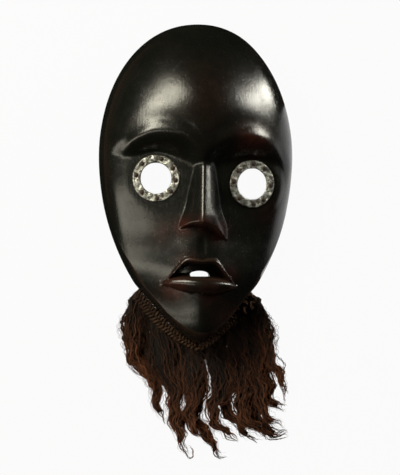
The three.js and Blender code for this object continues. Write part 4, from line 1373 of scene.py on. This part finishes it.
build_face(polished_wood())
sheet = worn_sheet()
iron = dark_iron()
for side, word, tacks in ((-1, "left", LEFT_TACKS), (1, "right", RIGHT_TACKS)):
    build_ring(sheet, side, f"{word}_eye_ring", tacks)
    tack_shapes = np.random.default_rng(TACK_SEED + side)
    for k, degrees in enumerate(tacks, 1):
        build_tack(iron, side, f"{word}_eye_tack_{k}", degrees, tack_shapes)
build_plait(plant_fibre("plait_fibre", PLAIT_COLOURS))
beard = plant_fibre("beard_fibre", BEARD_COLOURS)
# Painted shade colours for the lock cores and the body under the plait.
shade = plant_fibre("beard_shade", SHADE_COLOURS)
build_root_curtain(shade)
for number, lock in enumerate(LOCKS, 1):
    Lock(number, *lock).build(beard, shade)


# The strip of floor that the polished wood mirrors, right of the middle, as two heights on the face.
MIRRORED_STRIP = (-90, 40)
FLOOR_REACH = 4
FLOOR_GLOW = 0.95
FLOOR_GREY = (0.01, 0.01, 0.01, 1)
WHITE = (1, 1, 1, 1)


def build_floor():
    """The pale floor glows a little, like a light table, so the eye openings show it white."""
    finish = Finish("light_table")
    material = finish.surface(Base_Color=FLOOR_GREY, Roughness=0.9, Specular_IOR_Level=0,
                              Emission_Color=WHITE, Emission_Strength=FLOOR_GLOW)
    across = [-FLOOR_REACH, ORIGIN[0], FLOOR_REACH]
    up = [-FLOOR_REACH, *(ORIGIN[1] + reach * MM for reach in MIRRORED_STRIP), FLOOR_REACH]
    corners = [(x, y, 0) for y in up for x in across]
    squares = [(k, k + 1, k + 4, k + 3) for k in range(len(corners) - 4) if k % 3 < 2]
    strip = squares.pop(3)
    for name, faces in (("floor", squares), ("mirrored_floor", [strip])):
        mesh = bpy.data.meshes.new(name)
        mesh.from_pydata(corners, [], faces)
        mesh.materials.append(material)
        floor = bpy.data.objects.new(name, mesh)
        bpy.context.scene.collection.objects.link(floor)
        floor.visible_glossy = name == "mirrored_floor"


LEFT_TINT = (1, 0.95, 0.77)
RIGHT_TINT = (1, 0.98, 0.86)
LAMP_DISTANCE = 0.9
STUDIO_DARK = (0.006, 0.006, 0.006, 1)

# The soft boxes: name, azimuth, elevation, width and height in metres, power and tint.
SOFT_BOXES = [
    ("left_box", -60, -18, 0.2, 1.1, 5, LEFT_TINT),
    ("left_brow_box", -52, 20, 0.22, 0.24, 4.5, LEFT_TINT),
    ("left_top_box", -42, 32, 0.36, 0.34, 10, LEFT_TINT),
    ("right_box", 85, 26, 0.14, 0.7, 14, RIGHT_TINT),
]


def soft_box(name, azimuth, elevation, width, height, power, tint):
    """A rectangular lamp; azimuth 0 is straight out of the face, 90 to the viewer's right."""
    turn, rise = math.radians(azimuth), math.radians(elevation)
    out = Vector((math.sin(turn) * math.cos(rise), math.sin(rise), math.cos(turn) * math.cos(rise)))
    lamp = bpy.data.lights.new(name, "AREA")
    lamp.shape = "RECTANGLE"
    lamp.size, lamp.size_y = width, height
    lamp.energy = power
    lamp.color = tint
    made = bpy.data.objects.new(name, lamp)
    made.location = Vector(ORIGIN) + out * LAMP_DISTANCE
    made.rotation_euler = out.to_track_quat("Z", "Y").to_euler()
    bpy.context.scene.collection.objects.link(made)


def build_lights():
    for box in SOFT_BOXES:
        soft_box(*box)
    world = bpy.data.worlds.new("studio")
    world.use_nodes = True
    world.node_tree.nodes["Background"].inputs["Color"].default_value = STUDIO_DARK
    bpy.context.scene.world = world


# The photograph's view: its frame in millimetres at the floor, its middle, and its turn.
FRAME_HEIGHT = 352.5
FRAME_MIDDLE = np.array([3.6, -59, 0])
CAMERA_TURN = math.radians(6.5)
CAMERA_DISTANCE = 3000
SENSOR = 36
FARTHEST_SEEN = 20


def build_camera():
    lens = bpy.data.cameras.new("camera")
    lens.sensor_width = SENSOR
    lens.lens = SENSOR * CAMERA_DISTANCE / FRAME_HEIGHT
    lens.clip_end = FARTHEST_SEEN
    camera = bpy.data.objects.new("camera", lens)
    out = Vector((-math.sin(CAMERA_TURN), 0, math.cos(CAMERA_TURN)))
    right = Vector((math.cos(CAMERA_TURN), 0, math.sin(CAMERA_TURN)))
    middle = Vector(FRAME_MIDDLE * MM + ORIGIN)
    turn = Matrix((right, (0, 1, 0), out)).transposed().to_4x4()
    camera.matrix_world = Matrix.Translation(middle + out * CAMERA_DISTANCE * MM) @ turn
    bpy.context.scene.collection.objects.link(camera)
    bpy.context.scene.camera = camera


build_floor()
build_lights()
build_camera()
bpy.context.scene.view_settings.view_transform = "Standard"
